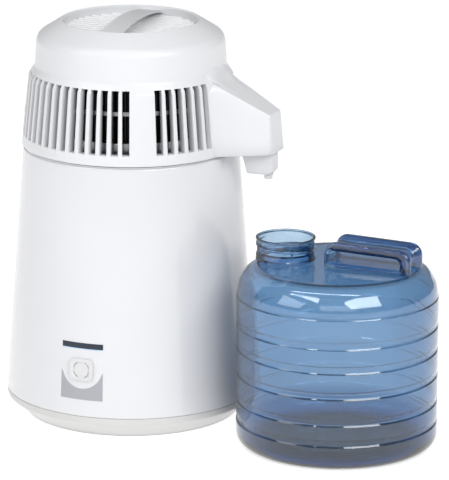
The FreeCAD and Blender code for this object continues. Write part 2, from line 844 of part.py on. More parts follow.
def head_shell():
    """Dome, louvred ring and spout, moulded in one piece with an open foot."""
    body = new_body("head_mould")
    spout_form(body, "0")
    solid = outline(body, "XZ_Plane", [
        ("0", HEAD_FOOT),
        ("ring_foot_radius", HEAD_FOOT),
        ("ring_top_radius", RING_TOP),
        ("dome_foot_radius", DOME_FOOT),
        ("dome_top_radius", DOME_TOP),
        ("recess_radius + rim_width", CREST),
        ("recess_radius", RECESS_EDGE),
        ("recess_radius", LEDGE_TOP),
        ("0", LEDGE_TOP),
    ])
    turned_solid = feature(body, "Revolution", solid, ReferenceAxis=(solid, ["V_Axis"]), Angle=360)
    dome_top = value(DOME_TOP)
    round_edges(body, turned_solid, "shoulder_round", lambda edge: abs(edge.BoundBox.ZMin - dome_top) < 1e-3
                and edge.BoundBox.ZLength < 1e-3)
    hollow = outline(body, "XZ_Plane", [
        ("0", f"{HEAD_FOOT} - {PAST}"),
        (SEAT_RADIUS, f"{HEAD_FOOT} - {PAST}"),
        (SEAT_RADIUS, SEAT_TOP),
        ("ring_foot_radius - rib_depth", SEAT_TOP),
        ("ring_top_radius - rib_depth", RING_TOP),
        ("dome_foot_radius - head_wall", DOME_FOOT),
        ("dome_top_radius - head_wall", f"{DOME_TOP} - head_wall"),
        ("recess_radius + head_wall", f"{CREST} - shoulder_wall"),
        ("recess_radius + head_wall", LEDGE_FOOT),
        ("0", LEDGE_FOOT),
    ])
    feature(body, "Groove", hollow, ReferenceAxis=(hollow, ["V_Axis"]), Angle=360)
    mouth = circle(body, "XY_Plane", "0", "0", LEDGE_RADIUS, lifted(f"{LEDGE_TOP} + {PAST}"))
    feature(body, "Pocket", mouth, f"ledge_thickness + 2 * {PAST}")
    half = "(cup_half_width - collar_step + collar_gap)"
    cup_seat = rectangle(body, "XY_Plane", f"{COLLAR_INNER} - collar_gap", f"{COLLAR_OUTER} + collar_gap",
                         f"-{half}", half, lifted(f"{ARM_FOOT} - {PAST}"))
    feature(body, "Pocket", cup_seat, f"head_wall + 2 * {PAST}", Reversed=True)
    for first_slot, count in (("spout_panel", "short_run"), ("side_panel", "long_run")):
        cut_louvres(body, first_slot, count)
        cut_louvres(body, f"360 - {first_slot} - ({count} - 1) * slot_pitch", count)
    gland_hole = circle(body, "YZ_Plane", "0", f"{HEAD_FOOT} + gland_level", "gland_bore")
    feature(body, "Pocket", gland_hole, f"ring_foot_radius + {THROUGH}")
    screw_hole = circle(body, "XY_Plane", BRACKET_SCREW_RADIUS, "0", "screw_radius",
                        lifted(f"{LEDGE_FOOT} - {PAST}", BRACKET_TURN))
    deep = f"bracket_screw_length - bracket_thickness + {PAST}"
    hole = feature(body, "Pocket", screw_hole, deep, Reversed=True)
    repeat_round(body, hole, "3")
    core = new_body("spout_core")
    spout_form(core, "head_wall")
    return cut("head_shell", body, core)


def cut_louvres(body, first_slot, count):
    """A run of upright slots through the ring and the foot of the flare."""
    angle = value(first_slot)
    reach = value(f"ring_foot_radius + {THROUGH}")
    spot = Vector(reach * math.sin(math.radians(angle)), 0, reach * math.cos(math.radians(angle)))
    offset = Placement(spot, Rotation(Vector(0, 1, 0), angle))
    foot = f"({HEAD_FOOT} + slot_foot)"
    slot = rectangle(body, "YZ_Plane", "-slot_width / 2", "slot_width / 2", foot, f"{foot} + slot_height",
                     offset)
    pocket = feature(body, "Pocket", slot, f"rib_depth + ring_foot_radius - ring_top_radius + 2 * {THROUGH}")
    repeat_round(body, pocket, count, "slot_pitch")


# Outlet cup, its filter and nozzle


def outlet_cup():
    body = new_body("outlet_cup")
    side = outline(body, "XZ_Plane", [
        ("cup_inner_foot", CUP_FOOT),
        ("cup_outer - cup_chamfer", CUP_FOOT),
        ("cup_outer", f"{CUP_FOOT} + cup_chamfer"),
        ("cup_outer", ARM_FOOT),
        ("cup_inner_top", ARM_FOOT),
    ])
    feature(body, "Pad", side, "2 * cup_half_width", middle=True)
    half = "(cup_half_width - collar_step)"
    collar = rectangle(body, "XY_Plane", COLLAR_INNER, COLLAR_OUTER, f"-{half}", half, lifted(ARM_FOOT))
    feature(body, "Pad", collar, "collar_height")
    nozzle = circle(body, "XY_Plane", "nozzle_reach", "0", "nozzle_radius",
                    lifted(f"{CUP_FOOT} + cup_chamfer"))
    feature(body, "Pad", nozzle, "nozzle_length + cup_chamfer", Reversed=True)
    ring = circle(body, "XY_Plane", "nozzle_reach", "0", "nozzle_radius + nozzle_collar_wall",
                  lifted(f"{CUP_FOOT} + cup_chamfer"))
    feature(body, "Pad", ring, "nozzle_collar_height + cup_chamfer", Reversed=True)
    room = "(cup_half_width - cup_wall)"
    hollow = rectangle(body, "XY_Plane", CUP_ROOM_INNER, CUP_ROOM_OUTER, f"-{room}", room,
                       lifted(f"{ARM_FOOT} + collar_height + {PAST}"))
    feature(body, "Pocket", hollow, f"collar_height + cup_height - cup_wall + {PAST}")
    bore = circle(body, "XY_Plane", "nozzle_reach", "0", "nozzle_bore", lifted(ARM_FOOT))
    feature(body, "Pocket", bore, f"cup_height + nozzle_length + {PAST}")
    return body


def carbon_filter():
    body = new_body("carbon_filter")
    room = "(cup_half_width - cup_wall - filter_gap)"
    pad = rectangle(body, "XY_Plane", f"{CUP_ROOM_INNER} + filter_gap", f"{CUP_ROOM_OUTER} - filter_gap",
                    f"-{room}", room, lifted(f"{CUP_FOOT} + cup_wall"))
    feature(body, "Pad", pad, "filter_height")
    return body


# Grille and carrying bar


def top_grille():
    body = new_body("grille_slats")
    last_slat = "(floor(recess_radius / slat_pitch) * slat_pitch)"
    slat = rectangle(body, "XY_Plane", "-recess_radius", "recess_radius",
                     f"-{last_slat} - slat_thickness / 2", f"-{last_slat} + slat_thickness / 2",
                     lifted(LEDGE_TOP))
    pad = feature(body, "Pad", slat, "slat_height")
    row = body.newObject("PartDesign::LinearPattern", "grille_row")
    row.Originals = [pad]
    row.Direction = (origin_feature(body, "Y_Axis"), [""])
    row.Mode = "Spacing"
    bind(row, "Offset", "slat_pitch")
    bind(row, "Occurrences", "2 * floor(recess_radius / slat_pitch) + 1")
    body.Tip = row
    plug = rod("grille_plug", "recess_radius", "recess_depth", ("0", "0", LEDGE_TOP))
    bars = [block(f"cross_bar_{side}", ("cross_bar_width", "2 * recess_radius", "cross_bar_height"),
                  (f"{sign} * cross_bar_place - cross_bar_width / 2", "-recess_radius", LEDGE_TOP))
            for side, sign in (("inner", "-1"), ("outer", "1"))]
    return common("top_grille", fuse("grille_solid", body, *bars), plug)


def carry_bar():
    centre = f"({CREST} + bar_crest - bar_arch_radius)"
    outer = rod("bar_outer", "bar_arch_radius", "bar_width", ("-bar_width / 2", "0", centre), "X")
    inner = rod("bar_inner", "bar_arch_radius - bar_thickness", "2 * bar_width",
                ("-bar_width", "0", centre), "X")
    plug = rod("bar_plug", "recess_radius", "2 * recess_depth + bar_crest", ("0", "0", LEDGE_TOP))
    bar = common("carry_bar", cut("bar_arch", outer, inner), plug)
    bar.Placement = Placement(Vector(), Rotation(Vector(0, 0, 1), value("bar_turn")))
    return bar


# Fan


def motor_bracket():
    body = new_body("motor_bracket")
    level = lifted(f"{LEDGE_FOOT} - bracket_thickness")
    plate = circle(body, "XY_Plane", "0", "0", "motor_radius", level)
    feature(body, "Pad", plate, "bracket_thickness")
    turned_level = lifted(f"{LEDGE_FOOT} - bracket_thickness", BRACKET_TURN)
    arm = rectangle(body, "XY_Plane", "0", "recess_radius + bracket_inset", "-bracket_arm_width / 2",
                    "bracket_arm_width / 2", turned_level)
    pad = feature(body, "Pad", arm, "bracket_thickness")
    repeat_round(body, pad, "3")
    hole = circle(body, "XY_Plane", BRACKET_SCREW_RADIUS, "0", "screw_radius", turned_level)
    pocket = feature(body, "Pocket", hole, f"bracket_thickness + {PAST}", Reversed=True)
    repeat_round(body, pocket, "3")
    return body


def bracket_screws():
    seat = f"({LEDGE_FOOT} - bracket_thickness)"
    single = screw("bracket_screw", BRACKET_SCREW_RADIUS, seat, "bracket_screw_length")
    return around("bracket_screws", single, "3", BRACKET_TURN)


def fan_motor():
    bore = "(shaft_radius + shaft_gap)"
    top = f"({MOTOR_FOOT} + motor_height)"
    blind = f"({MOTOR_FOOT} + shaft_engagement + shaft_end_gap)"
    return turned("fan_motor", [
        (bore, MOTOR_FOOT),
        ("motor_radius - motor_chamfer", MOTOR_FOOT),
        ("motor_radius", f"{MOTOR_FOOT} + motor_chamfer"),
        ("motor_radius", top),
        ("0", top),
        ("0", blind),
        (bore, blind),
    ])


def fan_shaft():
    return rod("fan_shaft", "shaft_radius", "hub_height + hub_gap + shaft_engagement", ("0", "0", HUB_FOOT))


def blade_section(body, reach, chord, pitch):
    """A slim rectangle across the blade, pitched about the blade's own length."""
    spot = Vector(0, value(f"{HUB_FOOT} + blade_lift"), value(reach))
    offset = Placement(spot, Rotation(Vector(0, 0, 1), value(pitch)))
    return rectangle(body, "YZ_Plane", f"-{chord} / 2", f"{chord} / 2", "-blade_thickness / 2",
                     "blade_thickness / 2", offset)


def impeller():
    body = new_body("impeller")
    root = blade_section(body, "hub_radius - blade_seat", "blade_root_chord", "blade_root_pitch")
    tip = blade_section(body, "fan_radius", "blade_tip_chord", "blade_tip_pitch")
    blade = feature(body, "AdditiveLoft", root, Sections=[tip], Ruled=True)
    repeat_round(body, blade, "blade_count")
    hub = circle(body, "XY_Plane", "0", "0", "hub_radius", lifted(HUB_FOOT))
    feature(body, "Pad", hub, "hub_height")
    bore = circle(body, "XY_Plane", "0", "0", "shaft_radius", lifted(f"{HUB_FOOT} - {PAST}"))
    feature(body, "Pocket", bore, f"hub_height + 2 * {PAST}", Reversed=True)
    return body


# Condenser


def condenser_lid():
    lip_foot = f"({SEAT_TOP} - lid_thickness)"
    inner = "(lid_radius - lid_thickness)"
    body = turned("condenser_lid", [
        (inner, lip_foot),
        (SEAT_RADIUS, lip_foot),
        (SEAT_RADIUS, SEAT_TOP),
        ("lid_radius", SEAT_TOP),
        ("lid_radius", LID_TOP),
        ("0", LID_TOP),
        ("0", f"{LID_TOP} - lid_thickness"),
        (inner, f"{LID_TOP} - lid_thickness"),
    ])
    port = circle(body, "XY_Plane", PORT_REACH, "0", "port_radius", lifted(f"{LID_TOP} + {PAST}"))
    feature(body, "Pocket", port, f"lid_thickness + 2 * {PAST}")
    return body


def lid_gasket():
    inner = f"({SEAT_RADIUS} - gasket_width)"
    top = f"({SEAT_TOP} - lid_thickness)"
    return turned("lid_gasket", [
        (inner, TANK_TOP),
        (SEAT_RADIUS, TANK_TOP),
        (SEAT_RADIUS, top),
        (inner, top),
    ])


def condenser_fins():
    body = new_body("condenser_fins")
    top = f"({LID_TOP} + fin_height)"
    sleeve_inner = "sleeve_radius - sleeve_wall"
    sleeve = rectangle(body, "XZ_Plane", sleeve_inner, "sleeve_radius", LID_TOP, top)
    feature(body, "Revolution", sleeve, ReferenceAxis=(sleeve, ["V_Axis"]), Angle=360)
    plate = rectangle(body, "XZ_Plane", "sleeve_radius - sleeve_wall / 2", "fin_radius", LID_TOP, top)
    pad = feature(body, "Pad", plate, "fin_thickness", middle=True)
    repeat_round(body, pad, "fin_count")
    offset = Placement(Vector(0, 0, value(f"fin_radius + {PAST}")), Rotation())
    notch_foot = f"({COIL_FOOT} - notch_height / 2)"
    notch = rectangle(body, "YZ_Plane", "-notch_width / 2", "notch_width / 2", notch_foot,
                      f"{notch_foot} + notch_height", offset)
    feature(body, "Pocket", notch, f"fin_radius - sleeve_radius + sleeve_wall + 2 * {PAST}")
    return body


def condenser_band():
    foot = f"({LID_TOP} + band_rise)"
    outer = "(fin_radius + band_thickness)"
    return turned("condenser_band", [
        ("fin_radius", foot),
        (outer, foot),
        (outer, f"{foot} + band_height"),
        ("fin_radius", f"{foot} + band_height"),
    ])


def condenser_coil():
    """A tube wound down from the steam port: short straight runs with mitred joints."""
    runs = int(value("coil_turns * coil_runs_per_turn"))
    step = 2 * math.pi / value("coil_runs_per_turn")
    rise = value("coil_pitch / coil_runs_per_turn")
    radius, foot = value("coil_radius"), value(COIL_FOOT)
    wound = [Vector(radius * math.cos(i * step), radius * math.sin(i * step), foot + i * rise)
             for i in range(runs + 1)]
    port = value(PORT_REACH)
    top = wound[-1].z
    path = Part.makePolygon(wound + [Vector(port, 0, top), Vector(port, 0, value(LID_TOP))])
    ring = Part.Wire(Part.makeCircle(value("coil_tube_radius"), wound[0], wound[1] - wound[0]))
    thing = DOCUMENT.addObject("Part::Feature", "condenser_coil")
    thing.Shape = Part.Wire(path.Edges).makePipeShell([ring], True, False, 1)
    return thing


def outlet_tube():
    start = "(coil_radius + coil_tube_radius / 2)"
    bend = "(nozzle_reach - outlet_bend_radius)"
    end = f"({ARM_FOOT} + collar_height + outlet_drop_end)"
    level = f"({COIL_FOOT} - outlet_bend_radius)"
    across = rod("outlet_run", "outlet_tube_radius", f"{bend} - {start}", (start, "0", COIL_FOOT), "X")
    elbow = DOCUMENT.addObject("Part::Torus", "outlet_elbow")
    bind(elbow, "Radius1", "outlet_bend_radius")
    bind(elbow, "Radius2", "outlet_tube_radius")
    elbow.Angle3 = 90
    place(elbow, (bend, "0", level), None, Rotation(Vector(1, 0, 0), 90))
    down = rod("outlet_drop", "outlet_tube_radius", f"{level} - {end}", ("nozzle_reach", "0", end))
    return fuse("outlet_tube", across, elbow, down)


def fan_lead_gland():
    level = f"({HEAD_FOOT} + gland_level)"
    start = ("-ring_foot_radius - gland_reach", "0", level)
    barrel = rod("gland_barrel", "gland_radius", f"gland_reach + {BEHIND}", start, "X")
    ring = cone("gland_face", "ring_foot_radius", "ring_top_radius", "ring_height", HEAD_FOOT)
    bore = rod("gland_hollow", "gland_bore", f"gland_reach + 2 * {BEHIND}", start, "X")
    return cut("fan_lead_gland", cut("gland_boss", barrel, ring), bore)


# Jug


def jug_frame():
    return Placement(Vector(value(JUG_X), -value("jug_side_shift"), 0), Rotation())


def jug_body():
    """A blown shell with a round shoulder, pressed-in bands and an open neck to one side."""
    body = new_body("jug_body")
    shoulders = [
        ("jug_radius", "jug_top_height - jug_shoulder_drop"),
        ("jug_radius - jug_shoulder_one_inset", "jug_top_height - jug_shoulder_one_drop"),
        ("jug_radius - jug_shoulder_two_inset", NECK_FOOT),
        ("jug_top_radius", "jug_top_height"),
    ]
    corners = [("0", "0"), ("jug_radius", "0"), *shoulders, ("0", "jug_top_height")]
    outer = outline(body, "XZ_Plane", corners)
    solid = feature(body, "Revolution", outer, ReferenceAxis=(outer, ["V_Axis"]), Angle=360)

    def ring_at(radius, level):
        reach, height = value(radius), value(level)
        return lambda edge: (edge.BoundBox.ZLength < 1e-3 and abs(edge.BoundBox.ZMin - height) < 1e-3
                             and abs(edge.BoundBox.XMax - reach) < 1e-3 and edge.BoundBox.XLength > reach)

    cornered = round_edges(body, solid, "jug_corner", ring_at("jug_radius", "0"))
    soft = [ring_at(radius, level) for radius, level in shoulders[:-1]]
    round_edges(body, cornered, "jug_shoulder_round", lambda edge: any(is_ring(edge) for is_ring in soft))
    level = "(jug_top_height - jug_band_drop)"
    floor = "(jug_radius - jug_band_depth)"
    band = outline(body, "XZ_Plane", [
        (floor, f"{level} - jug_band_width / 2 + jug_band_slope"),
        ("jug_radius", f"{level} - jug_band_width / 2"),
        (f"jug_radius + {PAST}", f"{level} - jug_band_width / 2"),
        (f"jug_radius + {PAST}", f"{level} + jug_band_width / 2"),
        ("jug_radius", f"{level} + jug_band_width / 2"),
        (floor, f"{level} + jug_band_width / 2 - jug_band_slope"),
    ])
    groove = feature(body, "Groove", band, ReferenceAxis=(band, ["V_Axis"]), Angle=360)
    row = body.newObject("PartDesign::LinearPattern", "jug_bands")
    row.Originals = [groove]
    row.Direction = (origin_feature(body, "Z_Axis"), [""])
    row.Reversed = True
    row.Mode = "Spacing"
    bind(row, "Offset", "jug_band_pitch")
    bind(row, "Occurrences", "jug_band_count")
    body.Tip = row
    neck = circle(body, "XY_Plane", "-neck_offset", "0", "neck_radius", lifted(NECK_FOOT))
    feature(body, "Pad", neck, "jug_shoulder_two_drop + neck_height")
    collar = circle(body, "XY_Plane", "-neck_offset", "0", "neck_radius + neck_collar_wall",
                    lifted(NECK_FOOT))
    feature(body, "Pad", collar, "jug_shoulder_two_drop + neck_collar_height")
    inner = [(f"{radius} - jug_wall", height) for radius, height in shoulders[:-1]]
    hollow = outline(body, "XZ_Plane", [
        ("0", "jug_wall"),
        ("jug_radius - jug_corner", "jug_wall"),
        ("jug_radius - jug_wall", "jug_corner"),
        *inner,
        ("jug_top_radius - jug_wall", "jug_top_height - jug_wall"),
        ("0", "jug_top_height - jug_wall"),
    ])
    feature(body, "Groove", hollow, ReferenceAxis=(hollow, ["V_Axis"]), Angle=360)
    mouth = circle(body, "XY_Plane", "-neck_offset", "0", "neck_radius - neck_wall",
                   lifted(f"jug_top_height + neck_height + {PAST}"))
    feature(body, "Pocket", mouth, f"neck_height + jug_shoulder_two_drop + jug_wall + {PAST}")
    body.Placement = jug_frame()
    return body


def jug_handle():
    body = new_body("jug_handle")
    foot, top = "jug_top_height", "(jug_top_height + handle_height)"
    side = outline(body, "XZ_Plane", [
        ("handle_start", foot),
        ("handle_end", foot),
        ("handle_end", f"{top} - handle_fall"),
        ("handle_start", top),
    ])
    solid = feature(body, "Pad", side, "handle_width", middle=True)
    middle = value("(handle_start + handle_end) / 2")
    high = value(f"{foot} + handle_height / 2")

    def across_at(edge, test):
        return edge.BoundBox.YLength > value("handle_width") - 1 and test(edge.BoundBox.Center)

    heel = round_edges(body, solid, "handle_heel_round",
                       lambda edge: across_at(edge, lambda c: c.z > high and c.x < middle))
    round_edges(body, heel, "handle_nose_round",
                lambda edge: across_at(edge, lambda c: c.z > high and c.x > value("handle_end") - 1))
    finger_foot = f"({foot} + finger_foot)"
    finger_top = f"({finger_foot} + finger_height)"
    gap = rectangle(body, "XZ_Plane", "finger_start", "finger_end", finger_foot, finger_top)
    opening = feature(body, "Pocket", gap, f"handle_width + 2 * {PAST}", middle=True)
    round_edges(body, opening, "finger_round", lambda edge: across_at(
        edge, lambda c: value("finger_start") - 1 < c.x < value("finger_end") + 1
        and value(finger_foot) - 0.5 < c.z < value(finger_top) + 0.5))
    channel = rectangle(body, "XY_Plane", "handle_start + handle_heel_round + channel_end_gap",
                        "handle_end - handle_nose_round - channel_end_gap", "-channel_width / 2",
                        "channel_width / 2", lifted(f"{top} - handle_fall - channel_depth"))
    feature(body, "Pocket", channel, f"handle_fall + channel_depth + {PAST}", Reversed=True)
    body.Placement = jug_frame()
    return body


SUB_PARTS = (
    foot_ring, base_pan, bottom_cover, base_screws, casing, tank, tank_floor, heater_plate,
    heater_terminals, thermostats, reset_bezel, reset_button, reset_switch, label_plate, badge_strip,
    power_inlet, inlet_pins, fan_socket, head_shell, outlet_cup, carbon_filter, top_grille, carry_bar,
    motor_bracket, bracket_screws, fan_motor, fan_shaft, impeller, condenser_lid, lid_gasket,
    condenser_fins, condenser_band, condenser_coil, outlet_tube, fan_lead_gland, jug_body, jug_handle,
)


def check(nodes):
    """Stops the build on any failed object or any empty or invalid sub-part."""
    for thing in DOCUMENT.Objects:
        if "Invalid" in thing.State or "Error" in thing.State:
            raise RuntimeError(f"{thing.Name} failed: {thing.State}")
    for name, node in nodes.items():
        if node.Shape.isNull() or not node.Shape.isValid() or not node.Shape.Solids:
            raise RuntimeError(f"{name} has no valid solid")


def main():
    fill_sheet()
    nodes = {make.__name__: make() for make in SUB_PARTS}
    for name, node in nodes.items():
        node.Label = name
    DOCUMENT.recompute()
    check(nodes)
    os.makedirs("parts", exist_ok=True)
    for name, node in nodes.items():
        node.Shape.exportStep(f"parts/{name}.step")
        print(f"{name}: {len(node.Shape.Solids)} solid(s), {node.Shape.Volume / 1000:.1f} cm3")


main()
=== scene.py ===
"""Countertop water distiller: a steel boiler, a lift-off condenser head and the collecting jug.

Each operator makes one group of pieces around the fixed frame.  Lengths are metres, +Z is up,
+X points from the boiler's axis to the spout, and -Y to the front with the reset button.
"""

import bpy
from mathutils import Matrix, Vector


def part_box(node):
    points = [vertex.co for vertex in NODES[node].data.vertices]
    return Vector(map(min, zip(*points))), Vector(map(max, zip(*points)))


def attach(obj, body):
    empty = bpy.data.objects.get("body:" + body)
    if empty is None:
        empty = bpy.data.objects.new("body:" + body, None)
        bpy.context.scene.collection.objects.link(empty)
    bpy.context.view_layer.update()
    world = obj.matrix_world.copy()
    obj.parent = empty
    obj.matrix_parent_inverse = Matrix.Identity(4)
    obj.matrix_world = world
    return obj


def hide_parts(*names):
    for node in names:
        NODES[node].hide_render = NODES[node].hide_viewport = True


bl_info = {
    "name": "Water Distiller",
    "version": (1, 0, 0),
    "blender": (4, 5, 0),
    "location": "View3D > Sidebar > Distiller",
    "description": "Builds a countertop water distiller and its jug around a fixed frame",
    "category": "Add Mesh",
}

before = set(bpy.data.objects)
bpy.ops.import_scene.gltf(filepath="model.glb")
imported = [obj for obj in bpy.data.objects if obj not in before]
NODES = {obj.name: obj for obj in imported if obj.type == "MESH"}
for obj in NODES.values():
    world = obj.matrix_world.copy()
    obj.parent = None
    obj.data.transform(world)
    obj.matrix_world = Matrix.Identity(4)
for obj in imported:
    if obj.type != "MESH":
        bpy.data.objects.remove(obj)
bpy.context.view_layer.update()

from math import asin, atan2, copysign, cos, pi, radians, sin, sqrt, tan, tau

import bmesh
import bpy
from bpy.props import FloatProperty, FloatVectorProperty, IntProperty, PointerProperty
from bpy.types import NodeSocket, Operator, Panel, PropertyGroup
from mathutils import Matrix, Vector

SEAM, RIM = (corner.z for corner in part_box("casing"))
HEAD_FOOT, HEAD_TOP = (corner.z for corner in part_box("head_shell"))
ROUND = 192        # segments round a large turned piece
SMALL_ROUND = 48   # segments round a small one
NECK_ROUND = 96    # segments round the jug's neck
TUBE_SIDES = 20
FLOOR_LEVEL = -0.0004
TINY = 1e-7
STRAIGHT = radians(89.7)   # a corner whose half angle is wider needs no arc
ARC_SHARE = 0.49           # the most of a side that an arc takes up
SMOOTH = radians(32)
QUARTER = pi / 2


# Sizes and colours that a user would change


def setting(kind, **shared):
    """A maker of one kind of setting, which takes its name, default and description."""
    return lambda name, default, description: kind(
        name=name, default=default, description=description, **shared)


length = setting(FloatProperty, min=0.0, unit="LENGTH", subtype="DISTANCE", precision=4)
angle = setting(FloatProperty, unit="ROTATION", subtype="ANGLE")
ratio = setting(FloatProperty)
colour = setting(FloatVectorProperty, size=3, min=0.0, max=1.0, subtype="COLOR")
count = setting(IntProperty, min=1)


class BoilerSizes(PropertyGroup):
    foot_radius: length("Casing foot radius", 0.1154, "Casing radius at the base")
    rim_radius: length("Casing rim radius", 0.0983, "Casing radius under the head")
    wall: length("Casing wall", 0.001, "Thickness of the enamelled steel")
    rim_round: length("Rim rounding", 0.0022, "Radius of the rolled upper edge")
    seam_round: length("Seam rounding", 0.0007, "Rounding at the seam over the base")
    pan_foot_radius: length("Base foot radius", 0.0986, "Base radius at the worktop")
    pan_flare_level: length("Base flare level", 0.015, "Height where the base's slope ends")
    pan_wall: length("Base wall", 0.0024, "Thickness of the moulded base")
    button_level: length("Button level", 0.064, "Height of the reset button")
    button_radius: length("Button radius", 0.0075, "Radius of the reset button")
    button_gap: length("Button gap", 0.00035, "Gap round the reset button")
    bezel_width: length("Bezel width", 0.023, "Width of the bezel")
    bezel_height: length("Bezel height", 0.0201, "Height of the bezel")
    bezel_round: length("Bezel corner", 0.005, "Corner radius of the bezel")
    mark_width: length("Mark width", 0.0408, "Width of the printed marks")
    mark_proud: length("Mark thickness", 0.0004, "Thickness of the printed marks")


class HeadSizes(PropertyGroup):
    ring_foot_radius: length("Ring foot radius", 0.0994, "Louvred ring's radius at its foot")
    ring_top_radius: length("Ring top radius", 0.0926, "Louvred ring's radius at its top")
    ring_height: length("Ring height", 0.0635, "Height of the louvred ring")
    flare_height: length("Flare height", 0.0089, "Height of the step from ring to dome")
    dome_foot_radius: length("Dome foot radius", 0.0869, "Dome radius above the flare")
    dome_top_radius: length("Dome top radius", 0.0853, "Dome radius under its shoulder")
    shoulder_height: length("Shoulder height", 0.014, "Height of the dome's shoulder")
    recess_radius: length("Recess radius", 0.0606, "Radius of the grille's recess")
    recess_depth: length("Recess depth", 0.0095, "Depth of the recess under its edge")
    rim_width: length("Rim width", 0.0023, "Width of the rim round the recess")
    rim_fall: length("Rim fall", 0.0012, "Fall of the rim towards the recess")
    wall: length("Head wall", 0.0025, "Wall of the moulding")
    rib_depth: length("Rib depth", 0.0085, "Depth of the louvre ribs")
    slot_width: length("Slot width", 0.0066, "Width of a louvre slot")
    slot_foot: length("Slot foot", 0.0092, "Height of the slots above the head's foot")
    slot_height: length("Slot height", 0.0576, "Height of the slots")
    slot_pitch: angle("Slot pitch", radians(6.0), "Angle from slot to slot")
    spout_panel: angle("Spout panel", radians(21.0), "Angle from the spout to the first slot")
    side_panel: angle("Side panel", radians(69.0), "Angle from the spout to the long run")
    short_run: count("Short run", 6, "Slots between the spout and the side panel")
    long_run: count("Long run", 18, "Slots between the side panel and the back")
    arm_lift: length("Spout lift", 0.0033, "Rise of the spout's underside to its end")
    arm_end_top: length("Spout end top", 0.0372, "Spout's end above the head's foot")
    arm_end_half: length("Spout end half width", 0.016, "Half of the width at the spout's end")
    arm_spread: ratio("Spout spread", 0.25, "Widening of the spout's side per length")
    arm_top_slope: ratio("Spout slope", 0.524, "Rise of the spout's top per length")
    arm_draft: angle("Spout draft", radians(5.0), "Draft of the spout's sides")
    arm_corner: length("Spout corner", 0.006, "Radius of the spout's upright corners")
    arm_edge: length("Spout edge", 0.0020, "Rounding of the spout's upper edge")
    slat_pitch: length("Slat pitch", 0.00775, "Distance between the grille's slats")
    slat_thickness: length("Slat thickness", 0.0026, "Thickness of a slat")
    slat_height: length("Slat height", 0.0036, "Height of a slat")
    bar_width: length("Bar width", 0.020, "Width of the carrying bar")
    bar_thickness: length("Bar thickness", 0.0026, "Thickness of the carrying bar")
    bar_arch_radius: length("Bar arch radius", 0.300, "Radius of the bar's arch")
    bar_turn: angle("Bar turn", radians(5.0), "Turn of the carrying bar from the front")


class CondenserSizes(PropertyGroup):
    sleeve_radius: length("Sleeve radius", 0.066, "Radius of the sleeve under the fins")
    fin_radius: length("Fin radius", 0.0834, "Radius of the fins' outer edges")
    fin_thickness: length("Fin thickness", 0.0006, "Thickness of a fin")
    fin_count: count("Fin count", 150, "Number of fins")
    coil_radius: length("Coil radius", 0.060, "Radius of the coil's centre line")
    coil_tube: length("Coil tube radius", 0.0045, "Radius of the coil's tube")
    coil_turns: count("Coil turns", 2, "Turns of the coil")


class JugSizes(PropertyGroup):
    wall: length("Jug wall", 0.0022, "Wall of the jug")
    foot_round: length("Jug foot rounding", 0.015, "Radius of the jug's lower corner")
    top_radius: length("Top radius", 0.072, "Radius of the flat top")
    top_level: length("Top level", 0.165, "Height of the flat top")
    groove_depth: length("Groove depth", 0.0011, "Depth of the rings round the jug")
    groove_width: length("Groove width", 0.007, "Width of the rings round the jug")
    neck_offset: length("Neck offset", 0.050, "Distance of the neck from the jug's axis")
    neck_radius: length("Neck radius", 0.02685, "Outer radius of the neck over its beads")
    neck_wall: length("Neck wall", 0.0026, "Wall of the neck")
    thread_rise: length("Thread rise", 0.0050, "Rise of the neck's thread in half a turn")
    thread_radius: length("Thread radius", 0.0012, "Radius of the thread's bead")
    grip_heel: length("Grip heel", 0.0105, "Radius of the handle's corner at the neck")
    grip_nose: length("Grip nose", 0.0125, "Radius of the handle's corner at the rim")
    grip_channel: ratio("Grip channel", 0.42, "Floor of the channel as a share of the grip")


class FinishColours(PropertyGroup):
    enamel: colour("Enamel", (0.70, 0.705, 0.73), "Glossy enamel of the casing")
    head: colour("Head plastic", (0.70, 0.71, 0.73), "Moulded plastic of the head")
    base: colour("Base plastic", (0.61, 0.61, 0.60), "Moulded plastic of the base")
    button: colour("Button plastic", (0.66, 0.66, 0.67), "Reset button and its bezel")
    # Painted light: the slats get a lighter copy of the white plastic so they read as brightly lit.
    grille: colour("Grille plastic", (0.84, 0.85, 0.86), "Slats of the grille")
    bar: colour("Bar plastic", (0.62, 0.63, 0.65), "Carrying bar")
    print_grey: colour("Print grey", (0.37, 0.38, 0.41), "Printed panel under the button")
    slate: colour("Slate", (0.018, 0.026, 0.045), "Dark strip over the button")
    steel: colour("Steel", (0.58, 0.585, 0.60), "Stainless parts")
    # A darker copy of the stainless steel for parts behind the louvres: painted shade inside the head.
    shaded_steel: colour("Dull steel", (0.30, 0.30, 0.31), "Steel behind the louvres")
    fins: colour("Fin black", (0.010, 0.011, 0.012), "Coated condenser fins")
    black: colour("Black plastic", (0.02, 0.02, 0.022), "Fan, sockets and switches")
    jug: colour("Jug blue", (0.05, 0.42, 0.68), "Tint of the jug")
    handle: colour("Handle blue", (0.03, 0.33, 0.60), "Tint of the jug's handle")


class DistillerSettings(PropertyGroup):
    boiler: PointerProperty(type=BoilerSizes)
    head: PointerProperty(type=HeadSizes)
    condenser: PointerProperty(type=CondenserSizes)
    jug: PointerProperty(type=JugSizes)
    colours: PointerProperty(type=FinishColours)


# Meshes


def polar(radius, azimuth, level):
    return Vector((radius * cos(azimuth), radius * sin(azimuth), level))


def new_piece(name, vertices, faces):
    """A linked object with outward faces and smooth shading up to sharp edges."""
    mesh = bpy.data.meshes.new(name)
    mesh.from_pydata([tuple(vertex) for vertex in vertices], [], faces)
    shell = bmesh.new()
    shell.from_mesh(mesh)
    bmesh.ops.recalc_face_normals(shell, faces=shell.faces)
    shell.to_mesh(mesh)
    shell.free()
    piece = bpy.data.objects.new(name, mesh)
    bpy.context.scene.collection.objects.link(piece)
    smooth(piece)
    return piece


def smooth(piece):
    piece.data.polygons.foreach_set("use_smooth", [True] * len(piece.data.polygons))
    piece.data.set_sharp_from_angle(angle=SMOOTH)


